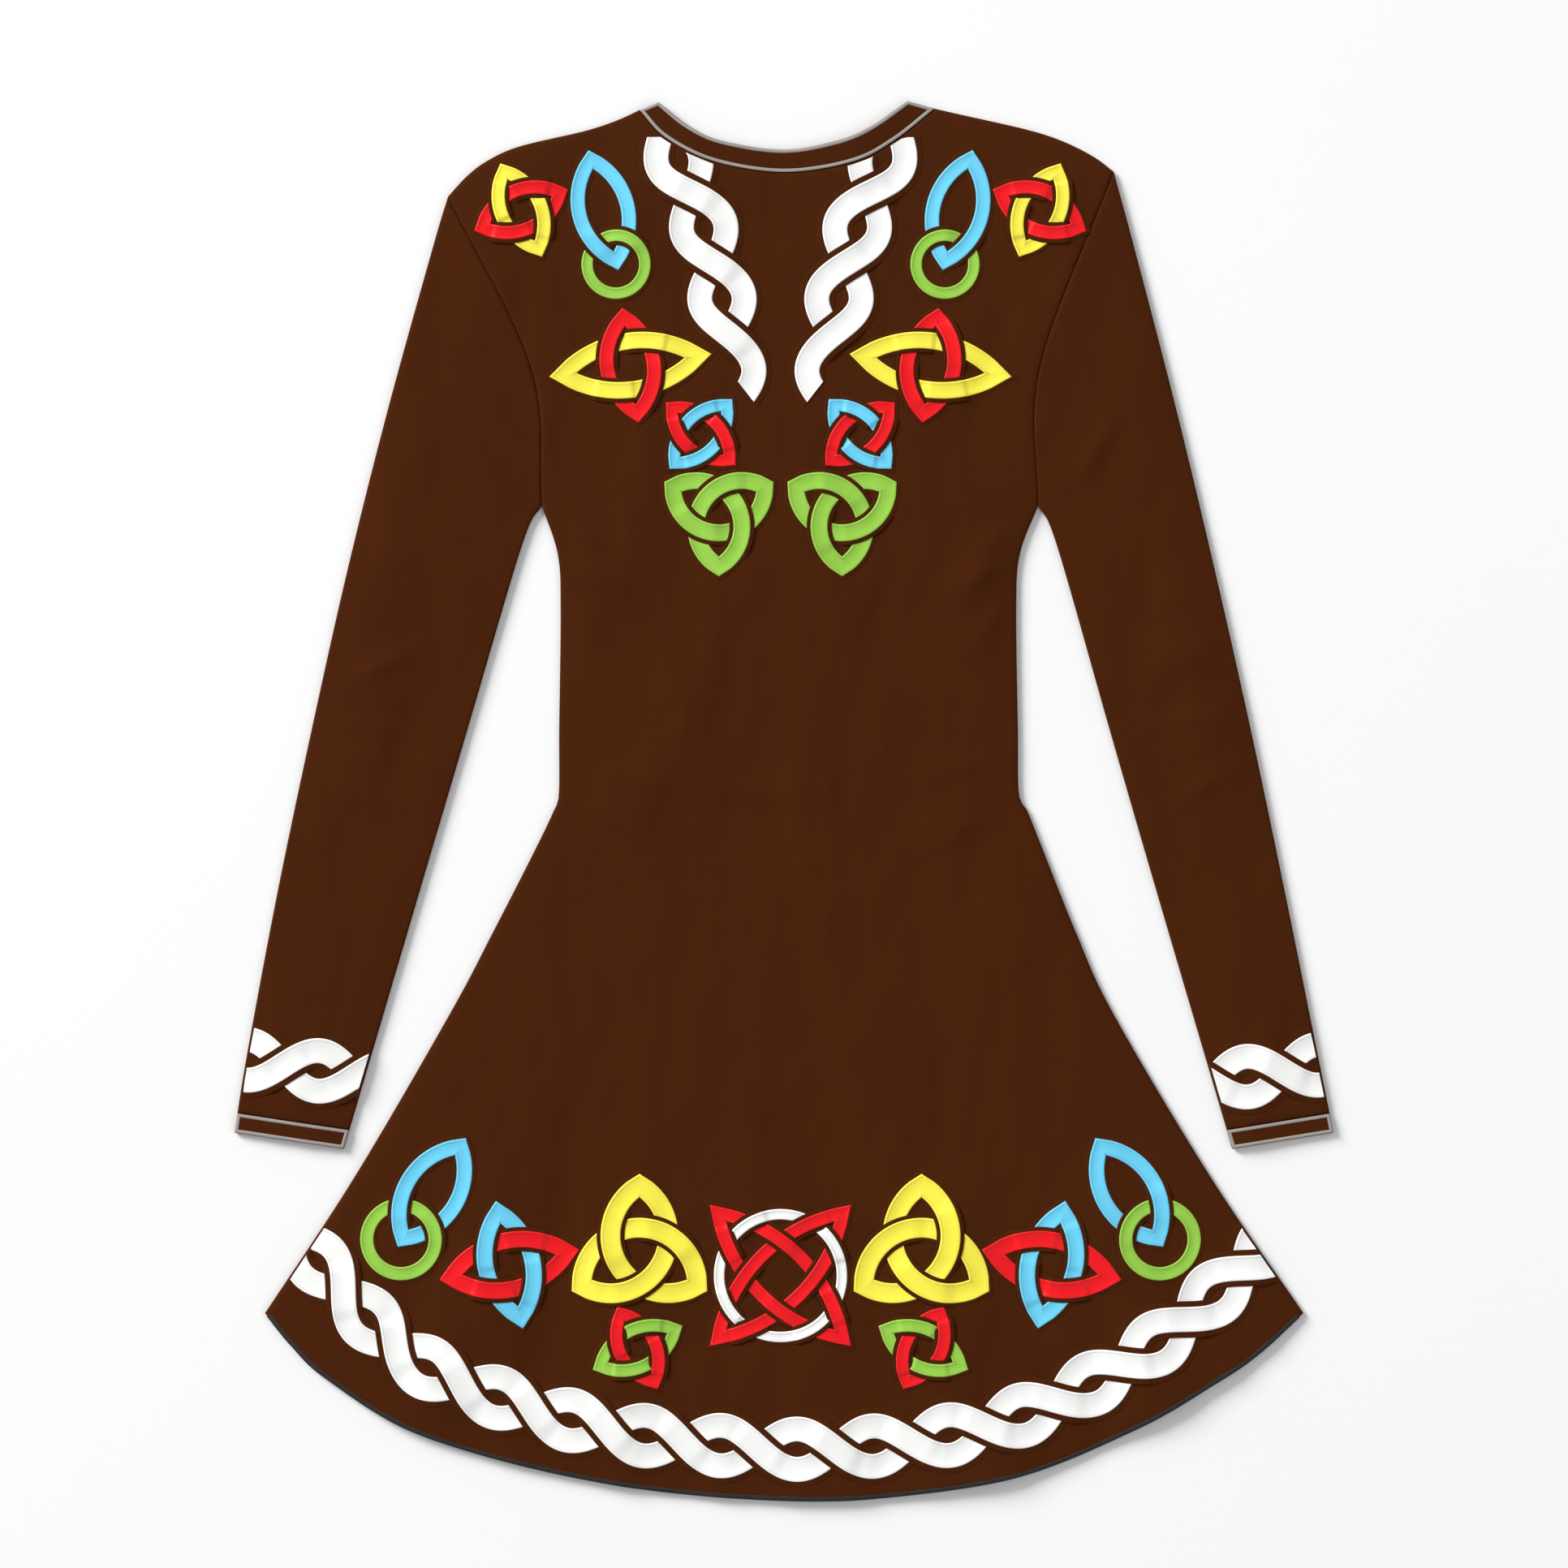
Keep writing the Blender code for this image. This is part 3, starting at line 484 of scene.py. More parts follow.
class Graph:
    """A material's nodes, with short calls to add and join them."""

    def __init__(self, name: str) -> None:
        """Starts a material with one shader.

        Args:
            name: the material's name.
        """
        self.material = bpy.data.materials.new(name)
        self.material.use_nodes = True
        self.tree = self.material.node_tree
        self.shader = self.tree.nodes["Principled BSDF"]

    def node(self, kind: str, inputs: Optional[dict] = None, **settings: object) -> bpy.types.Node:
        """Adds a node.

        Args:
            kind: the node's type, without its first words.
            inputs: what goes into its sockets: values, or outputs of other nodes.
            settings: its own properties.

        Returns:
            The node.
        """
        made = self.tree.nodes.new(f"ShaderNode{kind}")
        for name, value in settings.items():
            setattr(made, name, value)
        for name, value in (inputs or {}).items():
            self.feed(made.inputs[name], value)
        return made

    def feed(self, socket: bpy.types.NodeSocket, value: object) -> None:
        """Sets a socket, or joins it to another node's output."""
        if isinstance(value, bpy.types.NodeSocket):
            self.tree.links.new(value, socket)
        else:
            socket.default_value = value

    def math(self, operation: str, a: object, b: object = 0.0) -> bpy.types.NodeSocket:
        """The result of a sum on two values."""
        return self.node("Math", {0: a, 1: b}, operation=operation).outputs[0]

    def attribute(self, name: str) -> bpy.types.NodeSocket:
        """A number that the mesh carries at each point."""
        return self.node("Attribute", attribute_name=name).outputs["Fac"]

    def speckle(self, place: bpy.types.NodeSocket, scale: float,
                detail: float = 2.0) -> bpy.types.NodeSocket:
        """Smooth noise from 0 to 1."""
        wanted = {"Vector": place, "Scale": scale, "Detail": detail}
        return self.node("TexNoise", wanted).outputs["Fac"]

    def ramp(self, value: object, low: float, high: float) -> bpy.types.NodeSocket:
        """The value from 0 to 1, spread from low to high."""
        wanted = {"Value": value, "To Min": low, "To Max": high}
        return self.node("MapRange", wanted).outputs[0]

    def tinted(self, colour: tuple, shade: bpy.types.NodeSocket) -> bpy.types.NodeSocket:
        """The colour, made darker or lighter by a number near 1."""
        mixed = self.node("VectorMath", {0: colour, "Scale": shade}, operation="SCALE")
        return mixed.outputs["Vector"]

    def bumped(self, height: bpy.types.NodeSocket, distance: float) -> None:
        """Gives the surface a fine relief, whose depth is in millimetres."""
        bump = self.node("Bump", {"Height": height, "Distance": distance * MM, "Strength": 1.0})
        self.feed(self.shader.inputs["Normal"], bump.outputs["Normal"])

    def finished(self, roughness: float, sheen: float, sheen_tint: tuple,
                 specular: float = 0.5) -> bpy.types.Material:
        """Sets the values that are the same all over the surface.

        Args:
            roughness: left alone if the socket is already joined.
            sheen: how much light the fibres catch.
            sheen_tint: the colour of that light.
            specular: how strongly the surface mirrors.

        Returns:
            The material.
        """
        if not self.shader.inputs["Roughness"].is_linked:
            self.shader.inputs["Roughness"].default_value = roughness
        self.shader.inputs["Specular IOR Level"].default_value = specular
        self.shader.inputs["Sheen Weight"].default_value = sheen
        self.shader.inputs["Sheen Roughness"].default_value = 0.45
        self.shader.inputs["Sheen Tint"].default_value = (*sheen_tint, 1.0)
        return self.material


@dataclass(frozen=True)
class KnitCloth:
    """A matte stretch knit, with fine upright wales and a soft fibre sheen."""

    name: str
    colour: tuple[float, float, float]
    roughness: float = 0.86
    wale: float = 1.15
    course: float = 0.95
    depth: float = 0.09
    wander: float = 0.45
    wander_scale: float = 160.0
    course_share: float = 0.28
    fuzz_share: float = 0.7
    fuzz_scale: float = 2600.0
    patch_scale: float = 11.0
    patch_shades: tuple[float, float] = (0.90, 1.10)
    # Painted shade: how dark the grooves between the wales are, and how light the wales are
    groove_painted_shades: tuple[float, float] = (0.88, 1.05)
    fuzz_shades: tuple[float, float] = (0.86, 1.16)
    uneven: float = 0.06
    sheen: float = 0.10
    sheen_tint: tuple[float, float, float] = (0.50, 0.22, 0.09)
    specular: float = 0.08

    def material(self) -> bpy.types.Material:
        """Builds the material."""
        g = Graph(self.name)
        place = g.node("TexCoord").outputs["Object"]
        wander = g.ramp(g.speckle(place, self.wander_scale), -self.wander, self.wander)
        wales = g.math("ADD", g.attribute("wale_mm"), wander)
        courses = g.math("ADD", g.attribute("course_mm"), wander)
        ribs = g.math("ABSOLUTE", g.math("SINE", g.math("MULTIPLY", wales, math.pi / self.wale)))
        rows = g.math("SINE", g.math("MULTIPLY", courses, 2 * math.pi / self.course))
        fuzz = g.speckle(place, self.fuzz_scale, 3.0)
        knit = g.math("ADD", ribs, g.math("MULTIPLY", rows, self.course_share))
        height = g.math("ADD", knit, g.math("MULTIPLY", fuzz, self.fuzz_share))
        g.bumped(height, self.depth)
        patches = g.ramp(g.speckle(place, self.patch_scale, 4.0), *self.patch_shades)
        # Painted light and shade: darker down the grooves between the wales and lighter on the wales,
        # following the rib bump
        painted_groove_shade = g.ramp(ribs, *self.groove_painted_shades)
        fibres = g.ramp(fuzz, *self.fuzz_shades)
        shade = g.math("MULTIPLY", g.math("MULTIPLY", patches, painted_groove_shade), fibres)
        g.feed(g.shader.inputs["Base Color"], g.tinted(self.colour, shade))
        g.feed(g.shader.inputs["Roughness"],
               g.ramp(fuzz, self.roughness - self.uneven, self.roughness + self.uneven))
        return g.finished(self.roughness, self.sheen, self.sheen_tint, specular=self.specular)


@dataclass(frozen=True)
class SatinRibbon:
    """Smooth satin cut to a ribbon, with a dense border of stitches along both edges."""

    name: str
    colour: tuple[float, float, float]
    roughness: float = 0.38
    stitch: float = 0.75
    border: float = 1.45
    depth: float = 0.10

    def material(self) -> bpy.types.Material:
        """Builds the material."""
        g = Graph(self.name)
        place = g.node("TexCoord").outputs["Object"]
        along, inward = g.attribute("along_mm"), g.attribute("inward_mm")
        wander = g.ramp(g.speckle(place, 420.0), -0.25, 0.25)
        turns = g.math("MULTIPLY", g.math("ADD", along, wander), 2 * math.pi / self.stitch)
        thread = g.ramp(g.math("SINE", turns), 0.0, 0.5)
        on_border = g.math("LESS_THAN", inward, self.border)
        stitches = g.math("MULTIPLY", thread, on_border)
        weave = g.speckle(place, 1800.0, 3.0)
        g.bumped(g.math("ADD", stitches, g.math("MULTIPLY", weave, 0.35)), self.depth)
        # Painted shade: a thin darker line along the inner edge of the stitched border, where the
        # crease lies
        valley = g.math("ABSOLUTE", g.math("SUBTRACT", inward, self.border))
        crease_painted_shade = g.node("MapRange", {"Value": valley, "From Max": 0.3, "To Min": 0.80, "To Max": 1.0})
        patches = g.ramp(g.speckle(place, 26.0, 3.0), 0.96, 1.03)
        twine = g.ramp(stitches, 1.0, 0.93)
        shade = g.math("MULTIPLY", g.math("MULTIPLY", patches, crease_painted_shade.outputs[0]), twine)
        g.feed(g.shader.inputs["Base Color"], g.tinted(self.colour, shade))
        g.feed(g.shader.inputs["Roughness"],
               g.ramp(weave, self.roughness - 0.05, self.roughness + 0.08))
        return g.finished(self.roughness, 0.04, (1.0, 1.0, 1.0), specular=0.28)


@dataclass(frozen=True)
class StitchThread:
    """Rows of close stitches that cover what they are sewn over."""

    name: str
    colour: tuple[float, float, float]
    roughness: float = 0.6
    stitch: float = 0.8
    slant: float = 0.35
    depth: float = 0.12

    def material(self) -> bpy.types.Material:
        """Builds the material."""
        g = Graph(self.name)
        place = g.node("TexCoord").outputs["Object"]
        leaning = g.math("MULTIPLY", g.attribute("inward_mm"), self.slant)
        wander = g.ramp(g.speckle(place, 500.0), -0.2, 0.2)
        run = g.math("ADD", g.math("ADD", g.attribute("along_mm"), leaning), wander)
        thread = g.ramp(g.math("SINE", g.math("MULTIPLY", run, 2 * math.pi / self.stitch)), 0.0, 0.5)
        lint = g.speckle(place, 2200.0, 2.0)
        g.bumped(g.math("ADD", thread, g.math("MULTIPLY", lint, 0.3)), self.depth)
        # Painted light and shade: each stitch is lighter on its raised middle and darker between
        # stitches, following the bump; the lint adds random tone
        shade = g.math("MULTIPLY", g.ramp(thread, 0.84, 1.25), g.ramp(lint, 0.9, 1.1))
        g.feed(g.shader.inputs["Base Color"], g.tinted(self.colour, shade))
        g.feed(g.shader.inputs["Roughness"],
               g.ramp(lint, self.roughness - 0.05, self.roughness + 0.1))
        return g.finished(self.roughness, 0.1, (0.8, 0.8, 0.8))


@dataclass(frozen=True)
class PaperFloor:
    """The plain pale floor."""

    name: str
    colour: tuple[float, float, float]

    def material(self) -> bpy.types.Material:
        """Builds the material."""
        g = Graph(self.name)
        place = g.node("TexCoord").outputs["Object"]
        shade = g.ramp(g.speckle(place, 3.0, 3.0), 0.985, 1.0)
        g.feed(g.shader.inputs["Base Color"], g.tinted(self.colour, shade))
        return g.finished(0.9, 0.0, (1.0, 1.0, 1.0))


BROWN = (0.0615, 0.0132, 0.0010)
FINISHES = {
    finish.name: finish
    for finish in (
        KnitCloth("dress_cloth", BROWN),
        StitchThread("grey_thread", (0.36, 0.33, 0.31), slant=0.8),
        StitchThread("black_thread", (0.006, 0.006, 0.007), slant=0.8),
        SatinRibbon("white", (0.93, 0.93, 0.92)),
        SatinRibbon("red", (0.85, 0.004, 0.009)),
        SatinRibbon("yellow", (0.96, 0.85, 0.072)),
        SatinRibbon("green", (0.300, 0.60, 0.067)),
        SatinRibbon("blue", (0.148, 0.63, 0.90)),
        PaperFloor("pale_floor", (0.94, 0.94, 0.94)),
    )
}


def finish_material(name: str) -> bpy.types.Material:
    """The material of that finish, made once."""
    return bpy.data.materials.get(f"{name}_finish") or made_material(name)


def made_material(name: str) -> bpy.types.Material:
    """A new material of that finish."""
    material = FINISHES[name].material()
    material.name = f"{name}_finish"
    return material


def enclosed(points: Array, faces: list[list[int]]) -> float:
    """Six times the volume that the faces enclose, negative if they face inwards."""
    total = 0.0
    for face in faces:
        a = points[face[0]]
        for second, third in zip(face[1:], face[2:]):
            total += float(a @ np.cross(points[second], points[third]))
    return total


def ring_solid(name: str, rings: Array, closed: bool, ladder: bool = False,
               values: Optional[dict[str, Array]] = None, lap: float = 0.0) -> bpy.types.Mesh:
    """Makes a closed mesh of rings of points.

    Args:
        name: the mesh's name.
        rings: the points, in millimetres, by ring and place in the ring.
        closed: whether the last ring joins the first.
        ladder: whether an end is closed by faces from side to side, and not by one.
        values: numbers for each point that the finishes read.
        lap: what is added to along_mm where the last ring meets the first.

    Returns:
        The mesh, in metres.
    """
    count, size = rings.shape[:2]
    index = np.arange(count * size).reshape(count, size)
    near = index if closed else index[:-1]
    far = np.roll(index, -1, 0) if closed else index[1:]
    quads = np.stack([near, np.roll(near, -1, 1), np.roll(far, -1, 1), far], -1).reshape(-1, 4)
    ends: list[list[int]] = []
    if not closed:
        for ring in (index[0][::-1], index[-1]):
            ring = ring.tolist()
            if ladder:
                ends += [[ring[k], ring[k + 1], ring[-2 - k], ring[-1 - k]]
                         for k in range(size // 2 - 1)]
            else:
                ends.append(ring)
    points = rings.reshape(-1, 3)
    middle = points - points.mean(0)
    a, b, c, d = (middle[quads[:, k]] for k in range(4))
    signed = float((a * (np.cross(b, c) + np.cross(c, d))).sum()) + enclosed(middle, ends)
    faces = quads.tolist() + ends
    if signed < 0:
        faces = [face[::-1] for face in faces]
    mesh = bpy.data.meshes.new(name)
    mesh.from_pydata((points * MM).tolist(), [], faces)
    for key, numbers in (values or {}).items():
        flat = np.asarray(numbers, float).ravel()
        corners = np.array([flat[k] for face in faces for k in face])
        if key == "along_mm" and lap:
            last = np.arange(len(near) * size) >= (len(near) - 1) * size
            seam = np.repeat(last, 4)
            corners[: len(seam)] += lap * (seam & (corners[: len(seam)] < lap / 2))
        kept = mesh.attributes.new(key, "FLOAT", "CORNER")
        kept.data.foreach_set("value", corners.astype(np.float32))
    mesh.shade_smooth()
    mesh.set_sharp_from_angle(angle=math.radians(SHARP_EDGE))
    return mesh


def add_piece(mesh: bpy.types.Mesh, finish: str,
              node: Optional[str] = None) -> bpy.types.Object:
    """Adds a piece of the dress, which lies where its mesh says.

    Args:
        mesh: its mesh, with the piece's name.
        finish: the name of its finish.
        node: the solid that it stands for.

    Returns:
        The piece.
    """
    mesh.materials.append(finish_material(finish))
    piece = bpy.data.objects.new(mesh.name, mesh)
    bpy.context.scene.collection.objects.link(piece)
    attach(piece, BODY_NAME)
    if node:
        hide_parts(node)
    LOG.info("%s: %d faces, %s", piece.name, len(mesh.polygons), finish)
    return piece


def shares(joints: Sequence[float], counts: Sequence[int], rim: Sequence[float]) -> Array:
    """Spreads fractions from 0 to 1, closer together at both ends.

    Args:
        joints: fractions that have to be among them.
        counts: how many steps to take between each two.
        rim: the fractions next to each end.

    Returns:
        The fractions, in order.
    """
    runs = [np.linspace(a, b, n + 1) for a, b, n in zip(joints, joints[1:], counts)]
    inner = np.unique(np.round(np.concatenate(runs), 9))
    inner = inner[(inner == 0) | (inner == 1) | ((inner > 1.6 * rim[-1]) & (inner < 1 - 1.6 * rim[-1]))]
    return np.unique(np.concatenate([inner, rim, 1 - np.array(rim)]))


def border(lines: Sequence[Line], joints: Sequence[float], wanted: Array) -> Array:
    """Follows lines that are joined end to end.

    Args:
        lines: the lines, in order.
        joints: the fractions at which each starts, and the last one ends.
        wanted: fractions of the whole.

    Returns:
        A point for each fraction.
    """
    which = np.clip(np.searchsorted(joints, wanted, side="right") - 1, 0, len(lines) - 1)
    found = np.zeros((len(wanted), 2))
    for k, line in enumerate(lines):
        share = (wanted - joints[k]) / (joints[k + 1] - joints[k])
        found[which == k] = line.at(share * line.length)[which == k]
    return found


def patch(low: Array, high: Array, first: Array, last: Array, across: Array, up: Array) -> Array:
    """Fills rows of points between four borders (a Coons patch).

    Args:
        low, high: the borders that run across.
        first, last: the borders that run from low to high.
        across, up: the fractions at which the borders' points stand.

    Returns:
        The points, by row and column.
    """
    u, v = across[None, :, None], up[:, None, None]
    corners = ((1 - u) * (1 - v) * low[0] + u * (1 - v) * low[-1]
               + (1 - u) * v * high[0] + u * v * high[-1])
    return (1 - v) * low + v * high + (1 - u) * first[:, None] + u * last[:, None] - corners


def rounding(distance: Array, reach: float, depth: float) -> Array:
    """How far a surface falls off towards its edge, as a quarter of an ellipse."""
    inward = np.clip(1 - distance / reach, 0, 1)
    return depth * (1 - np.sqrt(1 - inward**2))


@dataclass
class Body:
    """The front and the back of the dress, which share one outline, and the rolled hem."""

    lay: Lay
    joints_across: tuple[float, ...] = (0.0, 0.25, 0.75, 1.0)
    joints_up: tuple[float, ...] = (0.0, 22 / 30, 1.0)
    counts_across: tuple[int, ...] = (32, 64, 32)
    counts_up: tuple[int, ...] = (126, 48)
    rim_across: tuple[float, ...] = (0.0011, 0.0030, 0.0065)
    rim_up: tuple[float, ...] = (0.0006, 0.0015, 0.0032)
    edge_reach: float = 2.4
    edge_depth: float = 0.85
    roll_width: float = 1.6
    roll_height: float = 0.75
    roll_inset: float = 1.2
    roll_step: float = 1.5
    roll_clear: float = 2.0
    roll_sides: int = 14
    pieces: list[bpy.types.Object] = field(default_factory=list)

    def grid(self) -> Array:
        """Lays out the points of either panel.

        Returns:
            The points, by row from the hem and column from the wearer's right.
        """
        neck = smooth(NECK_SEAM).moved(-SEWN_GAP)
        shoulder = {
            side: Line([neck.points[end], *SHOULDER_SEAM[side].points[1:]])
            for side, end in ((Side.RIGHT, 0), (Side.LEFT, -1))
        }
        across = shares(self.joints_across, self.counts_across, self.rim_across)
        up = shares(self.joints_up, self.counts_up, self.rim_up)
        top = [shoulder[Side.RIGHT].backwards(), neck, shoulder[Side.LEFT]]
        sides = [
            border([SIDE_SEAM[side], ARMHOLE[side].backwards()], self.joints_up, up) for side in Side
        ]
        return patch(border([smooth(HEM)], (0.0, 1.0), across),
                     border(top, self.joints_across, across), *sides, across, up)

    def panel(self, name: str, points: Array, low: Array, high: Array) -> bpy.types.Object:
        """Makes one panel.

        Args:
            name: the node that it stands for, and the piece's own name.
            points: its points, by row and column.
            low, high: the heights of its two faces.

        Returns:
            The piece.
        """
        upper = np.concatenate([points, high[..., None]], -1)
        lower = np.concatenate([points, low[..., None]], -1)
        rings = np.concatenate([upper, lower[:, ::-1]], 1)
        values = {"wale_mm": rings[..., 0], "course_mm": rings[..., 1]}
        mesh = ring_solid(f"{name}_cloth", rings, closed=False, ladder=True, values=values)
        return add_piece(mesh, "dress_cloth", name)

    def rolled_hem(self, name: str, middle: Callable[[Array], Array]) -> bpy.types.Object:
        """Rolls the edge of the hem into a narrow bead of black thread.

        Args:
            name: the piece's name.
            middle: gives the height of the panel's middle at each point.

        Returns:
            The piece.
        """
        line = smooth(HEM).moved(self.roll_inset)
        s = np.arange(self.roll_clear, line.length - self.roll_clear, self.roll_step)
        angles = np.linspace(0, 2 * math.pi, self.roll_sides, endpoint=False)
        off = self.roll_width * np.cos(angles)
        places = line.at(s)[:, None] + line.sideways(s)[:, None] * off[None, :, None]
        height = middle(line.at(s))[:, None] + self.roll_height * np.sin(angles)
        rings = np.concatenate([places, np.maximum(height, 0.0)[..., None]], -1)
        values = {"along_mm": np.repeat(s[:, None], len(angles), 1),
                  "inward_mm": np.repeat(off[None], len(s), 0)}
        mesh = ring_solid(name, rings, closed=False, values=values)
        return add_piece(mesh, "black_thread")

    def build(self) -> None:
        """Makes the back, the front over it, and both hems."""
        points = self.grid()
        edge = np.minimum.reduce([
            np.linalg.norm(points - other, axis=-1)
            for other in (points[:, :1], points[:, -1:], points[:1], points[-1:])
        ])
        fall = rounding(edge, self.edge_reach, self.edge_depth)
        floor = np.zeros(points.shape[:2])
        back = self.panel("back", points, rounding(edge, self.edge_reach, self.edge_depth / 2),
                          floor + CLOTH)
        low = CLOTH + SEAM_GAP + self.lay.relief(points)
        front = self.panel("front", points, low, low + CLOTH - fall)
        hems = [
            self.rolled_hem("hem_roll_back", lambda p: np.full(p.shape[:-1], CLOTH / 2)),
            self.rolled_hem("hem_roll_front",
                            lambda p: CLOTH * 1.5 + SEAM_GAP + self.lay.relief(p)),
        ]
        self.pieces = [back, front, *hems]


@dataclass
class Tube:
    """A tube of cloth pressed flat, such as a sleeve, a cuff or the neckband."""

    lay: Lay
    name: str
    grid: Array
    lean: float = 0.0
    arc_steps: int = 5
    fold_spare: float = 0.4
    seam_reach: float = 2.4
    seam_depth: float = 0.85

    def ring(self, row: Array, fall: float, depth: float) -> Array:
        """Makes one ring round the tube.

        Args:
            row: points from one folded edge to the other.
            fall: how far the upper layer is drawn down there, as at a seam.
            depth: how far inside the outer face the ring lies.

        Returns:
            The ring's points.
        """
        away = depth + (NOSE if depth == 0 else NOSE / 2)
        ends = [row[0] + unit(row[1] - row[0]) * away, row[-1] + unit(row[-2] - row[-1]) * away]
        inside = row[1:-1]
        clear = away + self.fold_spare
        keep = ((np.linalg.norm(inside - row[0], axis=1) > clear)
                & (np.linalg.norm(inside - row[-1], axis=1) > clear))
        keep = np.where(keep[:, None], inside, np.where(
            (np.arange(len(inside)) < len(inside) / 2)[:, None], ends[0], ends[1]))
        across = np.vstack([ends[0], keep, ends[1]])
        low = np.full(len(across), depth)
        high = self.lay.top(across) - fall - depth
        lower = np.column_stack([across, low])
        upper = np.column_stack([across, high])[::-1]
        noses = []
        for end, start, tip in ((lower[-1], upper[0], row[-1]), (upper[-1], lower[0], row[0])):
            middle, half = (end[2] + start[2]) / 2, (start[2] - end[2]) / 2
            outward = unit(tip - end[:2]) * (away - depth)
            turns = np.linspace(-math.pi / 2, math.pi / 2, self.arc_steps + 2)[1:-1]
            noses.append([[*(end[:2] + outward * math.cos(t)), middle + half * math.sin(t)]
                          for t in turns])
        return np.vstack([lower, noses[0], upper, noses[1]])

    def build(self) -> bpy.types.Object:
        """Makes the tube.

        Returns:
            The piece.
        """
        along = np.minimum(np.linalg.norm(self.grid - self.grid[:1], axis=-1).mean(1),
                           np.linalg.norm(self.grid - self.grid[-1:], axis=-1).mean(1))
        falls = rounding(along, self.seam_reach, self.seam_depth)
        outer = [self.ring(row, fall, 0.0) for row, fall in zip(self.grid, falls)]
        inner = [self.ring(row, 0.0, CLOTH) for row in self.grid]
        rings = np.array([*outer, *inner[::-1]])
        turn = np.array([[math.cos(self.lean), math.sin(self.lean)],
                         [-math.sin(self.lean), math.cos(self.lean)]])
        places = rings[..., :2] @ turn.T
        values = {"wale_mm": places[..., 0], "course_mm": places[..., 1]}
        mesh = ring_solid(f"{self.name}_cloth", rings, closed=True, values=values)
        return add_piece(mesh, "dress_cloth", self.name)


class Profile(NamedTuple):
    """The cross-section of a sewn-on ribbon."""

    rim: tuple[tuple[float, float], ...]
    middle: float
    seat: float


SATIN_PROFILE = Profile(
    ((0.0, 0.0), (0.06, 0.22), (0.35, 0.40), (0.85, 0.44), (1.25, 0.36), (1.55, 0.26)), 0.30, 0.24
)
EDGING_PROFILE = Profile(((0.0, 0.0), (0.25, 0.13), (0.8, 0.2)), 0.2, 0.0)
STITCH_PROFILE = Profile(((0.0, 0.0), (0.12, 0.18), (0.45, 0.3)), 0.33, 0.0)


